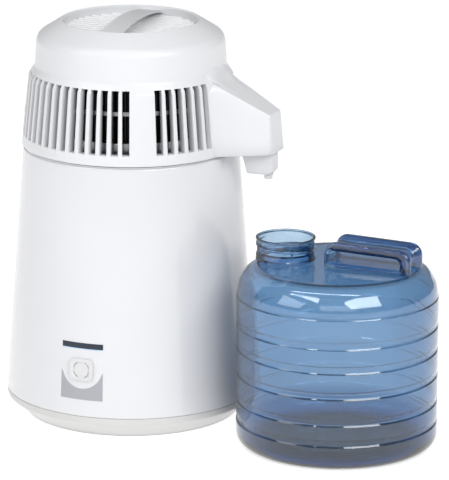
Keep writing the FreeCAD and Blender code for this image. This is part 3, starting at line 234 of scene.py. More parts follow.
def stitch(rings, along=False):
    """Faces between neighbouring closed rings of vertex numbers."""
    faces = []
    for low, high in zip(rings, rings[1:] + (rings[:1] if along else [])):
        for i in range(len(low)):
            j = (i + 1) % len(low)
            face = list(dict.fromkeys((low[i], low[j], high[j], high[i])))
            if len(face) > 2:
                faces.append(face)
    return faces


def loft(name, loops, capped=True, along=False):
    """A skin over closed loops of as many points each."""
    size = len(loops[0])
    rings = [list(range(i * size, (i + 1) * size)) for i in range(len(loops))]
    faces = stitch(rings, along)
    if capped:
        faces += [rings[0], rings[-1]]
    return new_piece(name, [point for loop in loops for point in loop], faces)


def revolve(name, profile, centre=(0.0, 0.0), segments=ROUND, loop=True):
    """A profile of (radius, height) points turned about an upright axis."""
    vertices, rings = [], []
    turns = [tau * i / segments for i in range(segments)]
    for radius, height in profile:
        start = len(vertices)
        if radius < TINY:
            rings.append([start] * segments)
            vertices.append((*centre, height))
        else:
            rings.append(list(range(start, start + segments)))
            vertices += [(centre[0] + radius * cos(t), centre[1] + radius * sin(t), height) for t in turns]
    return new_piece(name, vertices, stitch(rings, along=loop))


def rounded(corners, closed=True, steps=6):
    """The outline through corners (x, y, radius); a corner with no radius stays sharp."""
    spots = [Vector(corner[:2]) for corner in corners]
    outline, last = [], len(spots) - 1
    shares = [k / steps for k in range(steps + 1)]
    for i, (here, corner) in enumerate(zip(spots, corners)):
        if len(corner) == 2 or (not closed and i in (0, last)):
            outline.append(here)
            continue
        back, ahead = spots[i - 1] - here, spots[(i + 1) % len(spots)] - here
        half = back.angle(ahead) / 2
        if half > STRAIGHT:
            outline += [here + (back * (1 - share) + ahead * share) * 0.2 for share in shares]
            continue
        reach = min(corner[2] / tan(half), ARC_SHARE * back.length, ARC_SHARE * ahead.length)
        back.normalize()
        ahead.normalize()
        centre = here + (back + ahead).normalized() * reach / cos(half)
        start, end = here + back * reach - centre, here + ahead * reach - centre
        turn = start.angle(end)
        outline += [centre + (start * sin((1 - share) * turn) + end * sin(share * turn)) / sin(turn)
                    for share in shares]
    return outline


def lathe(name, corners, closed=True, steps=6, **place):
    """A rounded outline turned about an upright axis."""
    return revolve(name, rounded(corners, closed, steps), loop=closed, **place)


def rounded_rectangle(left, right, near, far, radii, steps=5):
    """The corners are left near, right near, right far and left far."""
    corners = ((left, near), (right, near), (right, far), (left, far))
    return rounded([(*corner, radius) for corner, radius in zip(corners, radii)], steps=steps)


def drawn(name, section, ends):
    """A section of (x, z) points drawn along Y between its ends."""
    return loft(name, [[Vector((x, y, z)) for x, z in section] for y in ends])


def settle(piece):
    """Makes a piece and its modifiers one plain mesh."""
    evaluated = piece.evaluated_get(bpy.context.evaluated_depsgraph_get())
    mesh = bpy.data.meshes.new_from_object(evaluated)
    mesh.name = piece.name
    piece.modifiers.clear()
    piece.data = mesh
    smooth(piece)
    return piece


def soften(piece, width, limit):
    """Rounds the edges of a piece that are sharper than the limit."""
    bevel = piece.modifiers.new("Soft edges", "BEVEL")
    bevel.width = width
    bevel.segments = 2
    bevel.limit_method = "ANGLE"
    bevel.angle_limit = limit
    return settle(piece)


def combine(piece, other, operation):
    """Joins another closed piece to this one, or cuts it out, and removes it."""
    change = piece.modifiers.new(operation, "BOOLEAN")
    change.operation = operation
    change.solver = "EXACT"
    change.object = other
    settle(piece)
    bpy.data.objects.remove(other)
    return piece


def join_meshes(piece, *others):
    """Adds the meshes of other pieces to this one as they lie."""
    whole = bmesh.new()
    for part in (piece, *others):
        whole.from_mesh(part.data)
    whole.to_mesh(piece.data)
    whole.free()
    for part in others:
        bpy.data.objects.remove(part)
    return piece


def paint(mesh, finish):
    mesh.materials.clear()
    mesh.materials.append(finish)


def dress(piece, body, finish, slot, *stands_for):
    """Gives a finished piece its material and its body, and hides the nodes that it stands for."""
    paint(piece.data, finish)
    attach(piece, body)
    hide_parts(*stands_for)


def finish_nodes(finish, *names):
    """Gives frame nodes whose shape is right their material."""
    for name in names:
        paint(NODES[name].data, finish)


# Node trees


def feed(tree, socket, side):
    """Gives an input a link from another socket, or a plain value."""
    if isinstance(side, NodeSocket):
        tree.links.new(side, socket)
    else:
        socket.default_value = side


def plug(tree, node, **sides):
    """Feeds the inputs of a node that the keywords name."""
    for label, side in sides.items():
        feed(tree, node.inputs[label.replace("_", " ")], side)
    return node


def add(tree, kind, **sides):
    return plug(tree, tree.nodes.new(kind), **sides)


def maths(tree, operation, *sides):
    """The output of a maths node; each side is a socket or a number."""
    node = tree.nodes.new("ShaderNodeMath")
    node.operation = operation
    for socket, side in zip(node.inputs, sides):
        feed(tree, socket, side)
    return node.outputs[0]


# Materials


EVEN = (1.0, 1.0, 1.0)
NOISE_REACH = (0.3, 0.7)   # the noise seldom leaves these values


def shade(made, **sides):
    """Feeds the shader of a material."""
    plug(made.node_tree, made.node_tree.nodes["Principled BSDF"], **sides)
    return made


def finish(name, tint, roughness, **sockets):
    """A Principled material; keywords name the shader's other sockets."""
    made = bpy.data.materials.new(name)
    made.use_nodes = True
    return shade(made, Base_Color=(*tint, 1.0), Roughness=roughness, **sockets)


def noise(made, scale, stretch):
    """A noise over the piece's own coordinates."""
    tree = made.node_tree
    place = add(tree, "ShaderNodeTexCoord").outputs["Object"]
    mapped = add(tree, "ShaderNodeMapping", Vector=place, Scale=stretch).outputs["Vector"]
    return add(tree, "ShaderNodeTexNoise", Vector=mapped, Scale=scale, Detail=3.0).outputs["Fac"]


def grain(made, scale, depth, strength=0.3, stretch=EVEN):
    """Fine relief in the surface."""
    bump = add(made.node_tree, "ShaderNodeBump", Strength=strength, Distance=depth,
               Height=noise(made, scale, stretch))
    return shade(made, Normal=bump.outputs["Normal"])


def varied(made, low, high, scale, stretch=EVEN):
    """Lets the roughness drift over the surface."""
    spread = add(made.node_tree, "ShaderNodeMapRange", From_Min=NOISE_REACH[0], From_Max=NOISE_REACH[1],
                 To_Min=low, To_Max=high, Value=noise(made, scale, stretch))
    return shade(made, Roughness=spread.outputs["Result"])


def mottled(made, tint, change, scale, stretch=EVEN):
    """Lets the colour drift between a darker and a lighter tint."""
    ramp = add(made.node_tree, "ShaderNodeValToRGB", Fac=noise(made, scale, stretch))
    for stop, position, share in zip(ramp.color_ramp.elements, NOISE_REACH, (1 - change, 1 + change)):
        stop.position = position
        stop.color = (*[min(part * share, 1) for part in tint], 1)
    return shade(made, Base_Color=ramp.outputs["Color"])


def footed(made, tint, low, high):
    """Gives what lies below a height another colour, with a blend between the two levels."""
    tree = made.node_tree
    place = add(tree, "ShaderNodeTexCoord").outputs["Object"]
    height = add(tree, "ShaderNodeSeparateXYZ", Vector=place).outputs["Z"]
    share = add(tree, "ShaderNodeMapRange", From_Min=low, From_Max=high, Value=height)
    blend = tree.nodes.new("ShaderNodeMix")
    blend.data_type = "RGBA"
    plug(tree, blend, Factor=share.outputs["Result"])
    below, above = [socket for socket in blend.inputs if socket.type == "RGBA"]
    base = tree.nodes["Principled BSDF"].inputs["Base Color"]
    below.default_value = (*tint, 1.0)
    feed(tree, above, base.links[0].from_socket if base.is_linked else base.default_value)
    mixed = next(socket for socket in blend.outputs if socket.type == "RGBA")
    return shade(made, Base_Color=mixed)


def enamel(tint):
    made = finish("Gloss enamel", tint, 0.16, Coat_Weight=0.5, Coat_Roughness=0.06)
    return grain(mottled(made, tint, 0.012, 9), 210, 0.0002, 0.06)


def moulded(name, tint, roughness):
    """Semi-gloss moulded plastic with a faint texture."""
    made = finish(name, tint, roughness, IOR=1.49)
    return grain(mottled(made, tint, 0.015, 14), 1400, 0.00006, 0.35)


def steel(name, tint):
    """Brushed steel, with the marks of brushing round the axis."""
    brushed = (1.0, 1.0, 40.0)
    made = varied(finish(name, tint, 0.3, Metallic=1.0), 0.22, 0.42, 60, brushed)
    return grain(made, 60, 0.0001, 0.2, brushed)


def coated_fins(tint):
    made = finish("Coated fins", tint, 0.42, Specular_IOR_Level=0.35)
    return mottled(made, tint, 0.5, 260, (1.0, 1.0, 0.08))


def tinted_clear(name, tint, density, skin=EVEN):
    """Clear plastic whose tint deepens with the way through it."""
    made = finish(name, skin, 0.03, IOR=1.52, Transmission_Weight=1.0, Coat_Weight=0.45,
                  Coat_Roughness=0.04, Coat_IOR=1.9)
    tree = made.node_tree
    depth = add(tree, "ShaderNodeVolumeAbsorption", Color=(*tint, 1.0), Density=density)
    plug(tree, tree.nodes["Material Output"], Volume=depth.outputs["Volume"])
    return grain(made, 24, 0.0006, 0.12)


def metal(name, tint, roughness):
    return finish(name, tint, roughness, Metallic=1.0)


def zinc():
    return varied(metal("Zinc plate", (0.55, 0.55, 0.54), 0.35), 0.25, 0.5, 90)


def soft_rubber(name, tint):
    return grain(finish(name, tint, 0.7), 900, 0.0001, 0.4)


def pale_floor():
    """A nearly white floor that glows evenly, with a painted shadow under what stands on it: the glow fades
    out over the footprints of the boiler and the jug.
    """
    made = finish("Pale floor", (0.42, 0.42, 0.42), 0.9, Specular_IOR_Level=0.1,
                  Emission_Color=(1.0, 1.0, 1.0, 1.0))
    tree, glow_with_painted_shadow, blend = made.node_tree, 0.82, 0.02
    place = add(tree, "ShaderNodeTexCoord").outputs["Object"]
    # Painted shadow: the glow drops to nothing inside each footprint, over a short blend at its edge.
    for spot, radius in (((0.0, 0.0), 0.0986), (jug_axis(), 0.086)):
        reach = tree.nodes.new("ShaderNodeVectorMath")
        reach.operation = "DISTANCE"
        feed(tree, reach.inputs[0], place)
        feed(tree, reach.inputs[1], (*spot, FLOOR_LEVEL))
        edge = add(tree, "ShaderNodeMapRange", From_Min=radius - blend, From_Max=radius,
                   Value=reach.outputs["Value"])
        glow_with_painted_shadow = maths(tree, "MULTIPLY", glow_with_painted_shadow, edge.outputs["Result"])
    return shade(made, Emission_Strength=glow_with_painted_shadow)


# Geometry Nodes trees


def new_tree(name, **inputs):
    """A Geometry Nodes group with named inputs, and the sockets that give them."""
    tree = bpy.data.node_groups.new(name, "GeometryNodeTree")
    for label, kind in {"Geometry": "Geometry", **inputs, "Material": "Material"}.items():
        tree.interface.new_socket(label, in_out="INPUT", socket_type="NodeSocket" + kind)
    tree.interface.new_socket("Geometry", in_out="OUTPUT", socket_type="NodeSocketGeometry")
    return tree, tree.nodes.new("NodeGroupInput").outputs


def end_tree(tree, given, last):
    """Ends a tree in real geometry with its material."""
    real = add(tree, "GeometryNodeRealizeInstances", Geometry=last.outputs[0])
    painted = add(tree, "GeometryNodeSetMaterial", Geometry=real.outputs[0], Material=given["Material"])
    add(tree, "NodeGroupOutput", Geometry=painted.outputs[0])
    return tree


def round_tree():
    """Copies of a piece, evenly round the Z axis."""
    tree, given = new_tree("Copies round the axis", Count="Int", First="Float")
    index = add(tree, "GeometryNodeInputIndex").outputs[0]
    step = maths(tree, "DIVIDE", tau, given["Count"])
    turn = maths(tree, "ADD", maths(tree, "MULTIPLY", index, step), given["First"])
    points = add(tree, "GeometryNodePoints", Count=given["Count"])
    rotation = add(tree, "ShaderNodeCombineXYZ", Z=turn)
    return end_tree(tree, given, add(
        tree, "GeometryNodeInstanceOnPoints", Points=points.outputs[0], Instance=given["Geometry"],
        Rotation=rotation.outputs[0]))


def row_tree():
    """Copies of a slat in a row along Y, each as long as the round opening is there."""
    tree, given = new_tree("Slats across a round opening", Count="Int", Pitch="Float", Radius="Float")
    index = add(tree, "GeometryNodeInputIndex").outputs[0]
    middle = maths(tree, "DIVIDE", maths(tree, "SUBTRACT", given["Count"], 1), 2)
    across = maths(tree, "MULTIPLY", maths(tree, "SUBTRACT", index, middle), given["Pitch"])
    share = maths(tree, "DIVIDE", across, given["Radius"])
    chord = maths(tree, "SQRT", maths(tree, "SUBTRACT", 1, maths(tree, "MULTIPLY", share, share)))
    spot = add(tree, "ShaderNodeCombineXYZ", Y=across)
    size = add(tree, "ShaderNodeCombineXYZ", X=chord, Y=1, Z=1)
    points = add(tree, "GeometryNodePoints", Count=given["Count"], Position=spot.outputs[0])
    return end_tree(tree, given, add(
        tree, "GeometryNodeInstanceOnPoints", Points=points.outputs[0], Instance=given["Geometry"],
        Scale=size.outputs[0]))


def coil_tree():
    """A tube wound in a helix."""
    tree, given = new_tree("Wound tube", Turns="Float", Radius="Float", Height="Float", Tube="Float",
                           Level="Float")
    spiral = add(tree, "GeometryNodeCurveSpiral", Resolution=64, Rotations=given["Turns"],
                 Start_Radius=given["Radius"], End_Radius=given["Radius"], Height=given["Height"])
    lift = add(tree, "ShaderNodeCombineXYZ", Z=given["Level"])
    move = add(tree, "GeometryNodeTransform", Geometry=spiral.outputs[0], Translation=lift.outputs[0])
    ring = add(tree, "GeometryNodeCurvePrimitiveCircle", Resolution=TUBE_SIDES, Radius=given["Tube"])
    return end_tree(tree, given, add(tree, "GeometryNodeCurveToMesh", Curve=move.outputs[0],
                                     Profile_Curve=ring.outputs[0], Fill_Caps=True))


def grow(piece, tree, **settings):
    """Runs a tree on a piece and keeps the result as a plain mesh."""
    modifier = piece.modifiers.new(tree.name, "NODES")
    modifier.node_group = tree
    sockets = {item.name: item.identifier for item in tree.interface.items_tree if item.in_out == "INPUT"}
    for label, setting in settings.items():
        modifier[sockets[label]] = setting
    return settle(piece)


# Boiler


def make_casing(sizes):
    wall, low, edge = sizes.wall, SEAM + 0.0003, 0.0003
    lip = sizes.rim_radius - 0.007
    return lathe("casing_shell", [
        (sizes.foot_radius, low, sizes.seam_round), (sizes.rim_radius, RIM, sizes.rim_round),
        (lip, RIM, edge), (lip, RIM - wall, edge), (sizes.rim_radius - wall, RIM - wall, 0.001),
        (sizes.foot_radius - wall, low, edge)])


def make_base(sizes):
    """The base's outer slope, the spigot inside the casing, and the ledge over the foot ring."""
    low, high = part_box("base_pan")
    foot, wall, flare = sizes.pan_foot_radius, sizes.pan_wall, sizes.pan_flare_level
    ledge, ledge_width, floor = foot - 0.016, 0.01, low.z + 2 * wall
    spigot = sizes.foot_radius - sizes.wall - 0.0006
    lip, lip_wall, lip_foot, lip_root = foot - 0.0002, 0.0004, 0.0003, low.z + 0.0001
    return lathe("base_moulding", [
        (lip, lip_foot, 0.0001), (foot + 0.0007, low.z, 0.0004),
        (sizes.foot_radius - 0.0004, flare, 0.0025), (sizes.foot_radius, SEAM, 0.0007),
        (spigot, SEAM, 0.0003), (spigot, high.z, 0.0005), (spigot - wall, high.z, 0.0005),
        (spigot - wall, flare + wall, 0.002), (foot - wall, floor, 0.002), (ledge, floor, 0.0004),
        (ledge, low.z + wall, 0.0004), (ledge + ledge_width, low.z + wall, 0.0004),
        (ledge + ledge_width, lip_root, 0.0004), (lip - lip_wall, lip_root, 0.0001),
        (lip - lip_wall, lip_foot, 0.0001)])


def button_frame(sizes):
    """Axes on the casing's face at the button: X across, Y up the face, Z straight out."""
    height, fall = RIM - SEAM, sizes.foot_radius - sizes.rim_radius
    slope = atan2(fall, height)
    across, out = Vector((1, 0, 0)), Vector((0, -cos(slope), sin(slope)))
    place = Matrix((across, out.cross(across), out)).transposed().to_4x4()
    radius = sizes.foot_radius - fall * (sizes.button_level - SEAM) / height
    place.translation = (0, -radius, sizes.button_level)
    return place


def make_bezel(sizes):
    """A rounded-square plate with a round, slightly dished opening for the button."""
    place = button_frame(sizes)
    half_width, half_height = sizes.bezel_width / 2, sizes.bezel_height / 2
    bore = sizes.button_radius + sizes.button_gap
    proud, edge, back, sleeve_foot, sleeve_wall = 0.002, 0.0007, -0.0012, -0.003, 0.0012

    def square(inset, out):
        outline = rounded_rectangle(inset - half_width, half_width - inset, inset - half_height,
                                    half_height - inset, [sizes.bezel_round - inset] * 4, steps=8)
        return [Vector((x, y, out)) for x, y in outline]

    def ring(clear, out):
        return [Vector((*point.xy.normalized() * (bore + clear), out)) for point in square(0, out)]

    loops = [ring(sleeve_wall, back), square(0, back), square(0, proud - edge)]
    for k in range(1, 5):
        bend = k / 4 * QUARTER
        loops.append(square(edge * (1 - cos(bend)), proud - edge * (1 - sin(bend))))
    loops += [ring(0.0011, proud), ring(0.0006, proud - 0.0002), ring(0, proud - 0.0009),
              ring(0, sleeve_foot), ring(sleeve_wall, sleeve_foot)]
    return loft("button_bezel", [[place @ point for point in loop] for loop in loops],
                capped=False, along=True)


def make_button(sizes):
    radius, proud, back = sizes.button_radius, 0.0014, -0.006
    button = lathe("reset_push_button", [
        (0, proud), (radius, proud - 0.0001, 0.0011), (radius, back, 0.0004), (0, back)],
        closed=False, steps=8, segments=SMALL_ROUND)
    button.data.transform(button_frame(sizes))
    return button


def mark(name, sizes, columns):
    """A thin plate on the casing's cone; each column is (across, foot, top)."""
    place, proud = button_frame(sizes), sizes.mark_proud
    edge, last = proud / 2, len(columns) - 1

    def on_face(across, up, out):
        point = place @ Vector((0, up, out))
        return polar(-point.y, across / -place.translation.y - QUARTER, point.z)

    loops = []
    for i, (across, foot, top) in enumerate(columns):
        inset = edge if i in (0, last) else 0
        side, face = across - copysign(inset, across), proud - inset
        loops.append([on_face(side, up, out) for up, out in (
            (foot, 0), (foot, edge), (foot + edge, face), (top - edge, face), (top, edge), (top, 0))])
    return loft(name, loops)


def make_marks(sizes):
    """The printed panel, cut out round the bezel, and the strip over the button."""
    half, steps = sizes.mark_width / 2, 32
    places = [half * (2 * i / steps - 1) for i in range(steps + 1)]
    arc, arc_level, shoulder, panel_foot = 0.020, 0.0025, -0.0016, -0.0275
    strip_foot, strip_top = 0.019, 0.0246
    panel = [(x, panel_foot, min(arc_level - sqrt(max(arc ** 2 - x ** 2, 0)), shoulder)) for x in places]
    strip = [(x, strip_foot, strip_top) for x in places]
    return mark("printed_panel", sizes, panel), mark("slate_strip", sizes, strip)


def screw_head(name, radius, height, centre):
    """A pan head with a sunk cross, facing down."""
    cap = lathe(name, [(0, height), (radius, height, height * 0.7), (radius, 0), (0, 0)],
                closed=False, segments=24)
    reach, half = radius * 0.6, radius * 0.13
    cut = rounded_rectangle(-reach, reach, -half, half, [radius * 0.05] * 4, steps=1)
    for turn in (0, QUARTER):
        c, s = cos(turn), sin(turn)
        combine(cap, loft("recess", [[Vector((x * c - y * s, x * s + y * c, z)) for x, y in cut]
                                     for z in (height * 0.35, height * 1.4)]), "DIFFERENCE")
    cap.data.transform(Matrix.Translation(centre) @ Matrix.Scale(-1, 4, Vector((0, 0, 1))))
    cap.data.flip_normals()
    return cap


# Head


def ring_taper(sizes):
    """How much the louvred ring narrows per height."""
    return (sizes.ring_foot_radius - sizes.ring_top_radius) / sizes.ring_height


def slot_reach(sizes, radius):
    """Half of a slot's width as an angle at a radius."""
    return asin(sizes.slot_width / 2 / radius)


def head_columns(sizes):
    """Azimuths round the head as (angle, side): side -1 or 1 is a slot's edge, 0 is plain wall."""
    centres = []
    for first, number in ((sizes.spout_panel, sizes.short_run), (sizes.side_panel, sizes.long_run)):
        run = [first + i * sizes.slot_pitch for i in range(number)]
        centres += run + [tau - centre for centre in run]
    centres.sort()
    reach, widest = slot_reach(sizes, sizes.ring_foot_radius), radians(3.2)
    columns = []
    for centre, following in zip(centres, centres[1:] + [centres[0] + tau]):
        start, end = centre + reach, following - reach
        parts = int((end - start) / widest) + 1
        columns += [(centre, -1), (centre, 1)]
        columns += [(start + (end - start) * i / parts, 0) for i in range(1, parts)]
    return columns


def make_head_shell(sizes):
    """Dome and louvred ring: an outer and an inner skin over the same columns, open at the slots."""
    foot, top = HEAD_FOOT, HEAD_TOP
    ring_top = foot + sizes.ring_height
    dome_foot, dome_top = ring_top + sizes.flare_height, top - sizes.shoulder_height
    slot_low = foot + sizes.slot_foot
    slot_high = slot_low + sizes.slot_height
    ledge, grille_bore, ledge_wall = top - sizes.rim_fall - sizes.recess_depth, 0.056, 0.002
    recess, wall, depth, taper = sizes.recess_radius, sizes.wall, sizes.rib_depth, ring_taper(sizes)

    def ring(level):
        return sizes.ring_foot_radius - taper * (level - foot)

    flare = sizes.ring_top_radius - (sizes.ring_top_radius - sizes.dome_foot_radius) * (
        (slot_high - ring_top) / sizes.flare_height)
    seat, step = 0.0954, foot + 0.0025
    sill = step + 0.0002
    outer, inner = (rounded(skin, closed=False) for skin in zip(
        ((ring(foot), foot), (seat, foot)),
        ((ring(step), step), (seat, step)),
        ((ring(sill), sill), (ring(foot) - depth, step)),
        ((ring(slot_low), slot_low), (ring(slot_low) - depth, slot_low)),
        ((ring(ring_top), ring_top, 0.004), (ring(ring_top) - depth, ring_top, 0.001)),
        ((flare, slot_high), (ring(ring_top) - depth, slot_high)),
        ((sizes.dome_foot_radius, dome_foot, 0.007), (sizes.dome_foot_radius - wall, dome_foot, 0.001)),
        ((sizes.dome_top_radius, dome_top, 0.011), (sizes.dome_top_radius - wall, dome_top - wall, 0.008)),
        ((recess + sizes.rim_width, top, 0.0007), (recess + wall, top - 0.0035, 0.0003)),
        ((recess, top - sizes.rim_fall, 0.0004), (recess + wall, top - 0.005, 0.0003)),
        ((recess, ledge), (recess + wall, ledge - ledge_wall)),
        ((grille_bore, ledge), (grille_bore, ledge - ledge_wall))))
    low, high = (next(i for i, point in enumerate(outer) if abs(point.y - level) < TINY)
                 for level in (slot_low, slot_high))
    columns, size = head_columns(sizes), len(outer)
    vertices = [polar(radius, turn + side * slot_reach(sizes, radius), level)
                for turn, side in columns for skin in (outer, inner) for radius, level in skin]
    faces = []

    def face(*corners):
        faces.append([(column % len(columns)) * 2 * size + inside * size + level
                      for column, level, inside in corners])

    for i, (_, side) in enumerate(columns):
        for k in range(size - 1):
            slotted = low <= k < high
            if side != -1 or not slotted:
                for skin in (0, 1):
                    face((i, k, skin), (i + 1, k, skin), (i + 1, k + 1, skin), (i, k + 1, skin))
            if side != 0 and slotted:
                face((i, k, 0), (i, k + 1, 0), (i, k + 1, 1), (i, k, 1))
        for k in (0, size - 1, low, high) if side == -1 else (0, size - 1):
            face((i, k, 0), (i + 1, k, 0), (i + 1, k, 1), (i, k, 1))
    return soften(new_piece("head_moulding", vertices, faces), 0.00045, radians(45))


def curve(start, control, end, steps):
    """Points on a smooth curve that leaves towards the control point and arrives from it."""
    shares = [k / steps for k in range(steps + 1)]
    return [start * (1 - t) ** 2 + control * (2 * t * (1 - t)) + end * t ** 2 for t in shares]


ROOT_STEPS = 9   # columns over which the spout's side grows out of the ring


def spout_plan(sizes, end):
    """The spout's outline at its foot, from one slot's edge round the end to the other's."""
    clear = sizes.spout_panel - slot_reach(sizes, sizes.ring_foot_radius)
    start = polar(sizes.ring_foot_radius - 0.0002, clear, 0).xy
    root_x, root_length = sizes.ring_foot_radius * 0.96, 0.017
    root = Vector((root_x, sizes.arm_end_half + (end - root_x) * sizes.arm_spread))
    straight = root + Vector((1.0, -sizes.arm_spread)).normalized() * root_length
    corner = rounded([straight, (end, sizes.arm_end_half, sizes.arm_corner), (end, 0)],
                     closed=False, steps=8)
    side = curve(start, root, straight, ROOT_STEPS) + corner[1:]
    return clear, [Vector((x, -y)) for x, y in side] + side[-2::-1]


def make_spout(sizes):
    """The spout arm in columns round the head's axis: dome, top, drafted side and underside."""
    foot, end = HEAD_FOOT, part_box("head_shell")[1].x + 0.0012
    under, ring_top, taper = foot + 0.0003, foot + sizes.ring_height, ring_taper(sizes)
    clear, plan = spout_plan(sizes, end)
    last, root_edge, thirds = len(plan) - 1, 0.007, (0.33, 0.66)
    # Radii round the head's axis: inside the ring's wall, on the dome, and where the top turns up
    buried, dome_radius, knee, bend_radius = 0.0935, 0.0866, 0.099, 0.0876
    dome_level, bend_x, crest_rise = foot + 0.0732, 0.0905, ring_top + 0.0004

    def top_at(x):
        return foot + sizes.arm_end_top + (end - x) * sizes.arm_top_slope

    def outward(spot, radius, level):
        return Vector((*(spot.xy.normalized() * radius), level))

    columns = []
    for i, spot in enumerate(plan):
        along = (plan[min(i + 1, last)] - plan[max(i - 1, 0)]).normalized()
        normal = Vector((along.y, -along.x))
        share = min(1, min(i, last - i) / ROOT_STEPS)
        fall = taper + (tan(sizes.arm_draft) - taper) * share
        edge = root_edge + (sizes.arm_edge - root_edge) * share
        turn = abs(atan2(spot.y, spot.x))
        fade = min(1, max(0, (clear - turn) / (clear * 0.9)))
        fade = fade * fade * (3 - 2 * fade)
        reach = max(0, (spot.length - sizes.ring_foot_radius) / (end - sizes.ring_foot_radius))
        low = under + sizes.arm_lift * reach
        slope = normal.x * sizes.arm_top_slope
        crest = foot + (top_at(spot.x) - foot + slope * edge) / (1 - slope * fall)
        crest = min(crest, crest_rise + 0.005 * share)

        def side(level, inset=0.0):
            return Vector((*(spot - normal * (inset + (level - foot) * fall)), level))

        column = [outward(spot, buried, under), side(low, 0.0005), side(low + 0.0005)]
        column += [side(low + (crest - low) * part) for part in thirds]
        for k in range(6):
            bend = k / 5 * QUARTER
            column.append(side(crest - edge * (1 - sin(bend)), edge * (1 - cos(bend))))
        brink = column[-1]
        dome = outward(spot, dome_radius - 0.0006 * fade, dome_level + 0.0085 * fade)
        flat = outward(brink, min(knee, brink.xy.length - 0.0003), 0)
        flat.z = brink.z + (top_at(flat.x) - top_at(brink.x)) * (0.25 + 0.75 * share)
        bend = dome.lerp(flat, 0.5).lerp(outward(spot, bend_radius, top_at(bend_x)), fade)
        column += [brink.lerp(flat, part) for part in thirds] + curve(flat, bend, dome, 8)
        column += [outward(spot, dome.xy.length - 0.001, dome.z - 0.001),
                   outward(spot, 0.0885, ring_top - 0.004)]
        columns.append(column)
    arm = loft("spout_arm", columns)
    arm.data.set_sharp_from_angle(angle=radians(65))
    return arm


NOZZLE_REACH = 0.1346   # from the boiler's axis


def make_cup():
    """The filter cup with its stepped end and nozzle."""
    low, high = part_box("outlet_cup")
    top = HEAD_FOOT + 0.0028
    foot, chamfer, corner = top - 0.0202, 0.004, 0.0018
    left_top, left_foot = low.x - 0.0025, low.x + 0.0030

    def section(level, grown):
        share = (top - level) / (top - foot)
        left = left_top + share * (left_foot - left_top) - grown
        right = high.x - max(0.0, foot + chamfer - level) + grown
        deep = high.y - share * 0.0004 + grown
        return [Vector((x, y, level)) for x, y in rounded_rectangle(left, right, -deep, deep, [corner] * 4)]

    cup = loft("outlet_filter_cup", [section(*ring) for ring in (
        (top - 0.0001, -0.0012), (top - 0.0012, -0.0012), (top - 0.0014, -0.0004), (top - 0.0020, 0),
        (foot + chamfer, 0), (foot + 0.0008, 0), (foot + 0.0002, -0.0003), (foot, -0.0009))])
    tip, radius, bore, buried = low.z, 0.00375, 0.0024, foot + 0.0006
    collar = radius + 0.0008
    return join_meshes(cup, lathe("nozzle", [
        (collar, buried, 0.0001), (collar, foot - 0.0008, 0.0004), (radius, foot - 0.0009, 0.0003),
        (radius, tip, 0.0008), (bore, tip, 0.0004), (bore, buried, 0.0001)],
        centre=(NOZZLE_REACH, 0), segments=SMALL_ROUND))


def make_grille(sizes, tree, plastic):
    """Slats across the recess on two cross bars."""
    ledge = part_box("top_grille")[0].z
    half, reach = sizes.slat_thickness / 2, sizes.recess_radius - 0.0002
    section = rounded_rectangle(-half, half, ledge, ledge + sizes.slat_height,
                                (0.0002, 0.0002, 0.0009, 0.0009), steps=3)
    slat = loft("intake_grille", [[Vector((x, y, z)) for y, z in section] for x in (-reach, 0, reach)])
    number = 2 * int(reach / sizes.slat_pitch) + 1
    grow(slat, tree, Count=number, Pitch=sizes.slat_pitch, Radius=reach, Material=plastic)
    bars, foot, half, height = [], ledge + 0.0001, 0.0015, 0.0018
    for across in (-0.028, 0.028):
        chord = sqrt(reach ** 2 - across ** 2)
        section = rounded_rectangle(across - half, across + half, foot, foot + height, [0.0003] * 4, steps=2)
        bars.append(drawn("cross_bar", section, (-chord, chord)))
    return join_meshes(slat, *bars)


def make_bar(sizes):
    """The arched bar: a flat band with raised edges that widens into the rim at the front."""
    radius, thick = sizes.bar_arch_radius, sizes.bar_thickness
    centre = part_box("carry_bar")[1].z - radius
    reach = asin((sizes.recess_radius - 0.0001) / radius)
    turned = Matrix.Rotation(sizes.bar_turn, 4, "Z")
    edge, sunk, steps, loops = 0.0016, 0.0003, 48, []
    for i in range(steps + 1):
        place = 2 * i / steps - 1
        turn = reach * place
        half = sizes.bar_width / 2 * (1 + (0.26 if place < 0 else 0.06) * abs(place) ** 7)
        inner, floor = half - edge, half - edge - 0.0004
        section = rounded([
            (-half, -thick, 0.0006), (half, -thick, 0.0006), (half, 0, 0.0008), (inner, 0, 0.0002),
            (floor, -sunk, 0.0002), (-floor, -sunk, 0.0002), (-inner, 0, 0.0002), (-half, 0, 0.0008)],
            steps=3)
        loops.append([turned @ Vector((
            x, (radius + z) * sin(turn), centre + (radius + z) * cos(turn))) for x, z in section])
    return loft("carry_band", loops)


# Condenser and fan


def make_fins(sizes, tree, coating):
    low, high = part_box("condenser_fins")
    half, wall, sleeve_radius = sizes.fin_thickness / 2, 0.0008, sizes.sleeve_radius
    section = rounded_rectangle(sleeve_radius - 0.0002, sizes.fin_radius, low.z, high.z,
                                (0.0002, 0.003, 0.003, 0.0002), steps=3)
    fin = drawn("fin_stack", section, (-half, half))
    grow(fin, tree, Count=sizes.fin_count, First=0.0, Material=coating)
    sleeve = revolve("sleeve", [(sleeve_radius, low.z), (sleeve_radius, high.z),
                                (sleeve_radius - wall, high.z), (sleeve_radius - wall, low.z)])
    return join_meshes(fin, sleeve)


def make_hoop(sizes):
    low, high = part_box("condenser_band")
    return revolve("fin_hoop", rounded_rectangle(sizes.fin_radius, high.x, low.z, high.z,
                                                 (0.0002, 0.0004, 0.0004, 0.0002), steps=3))


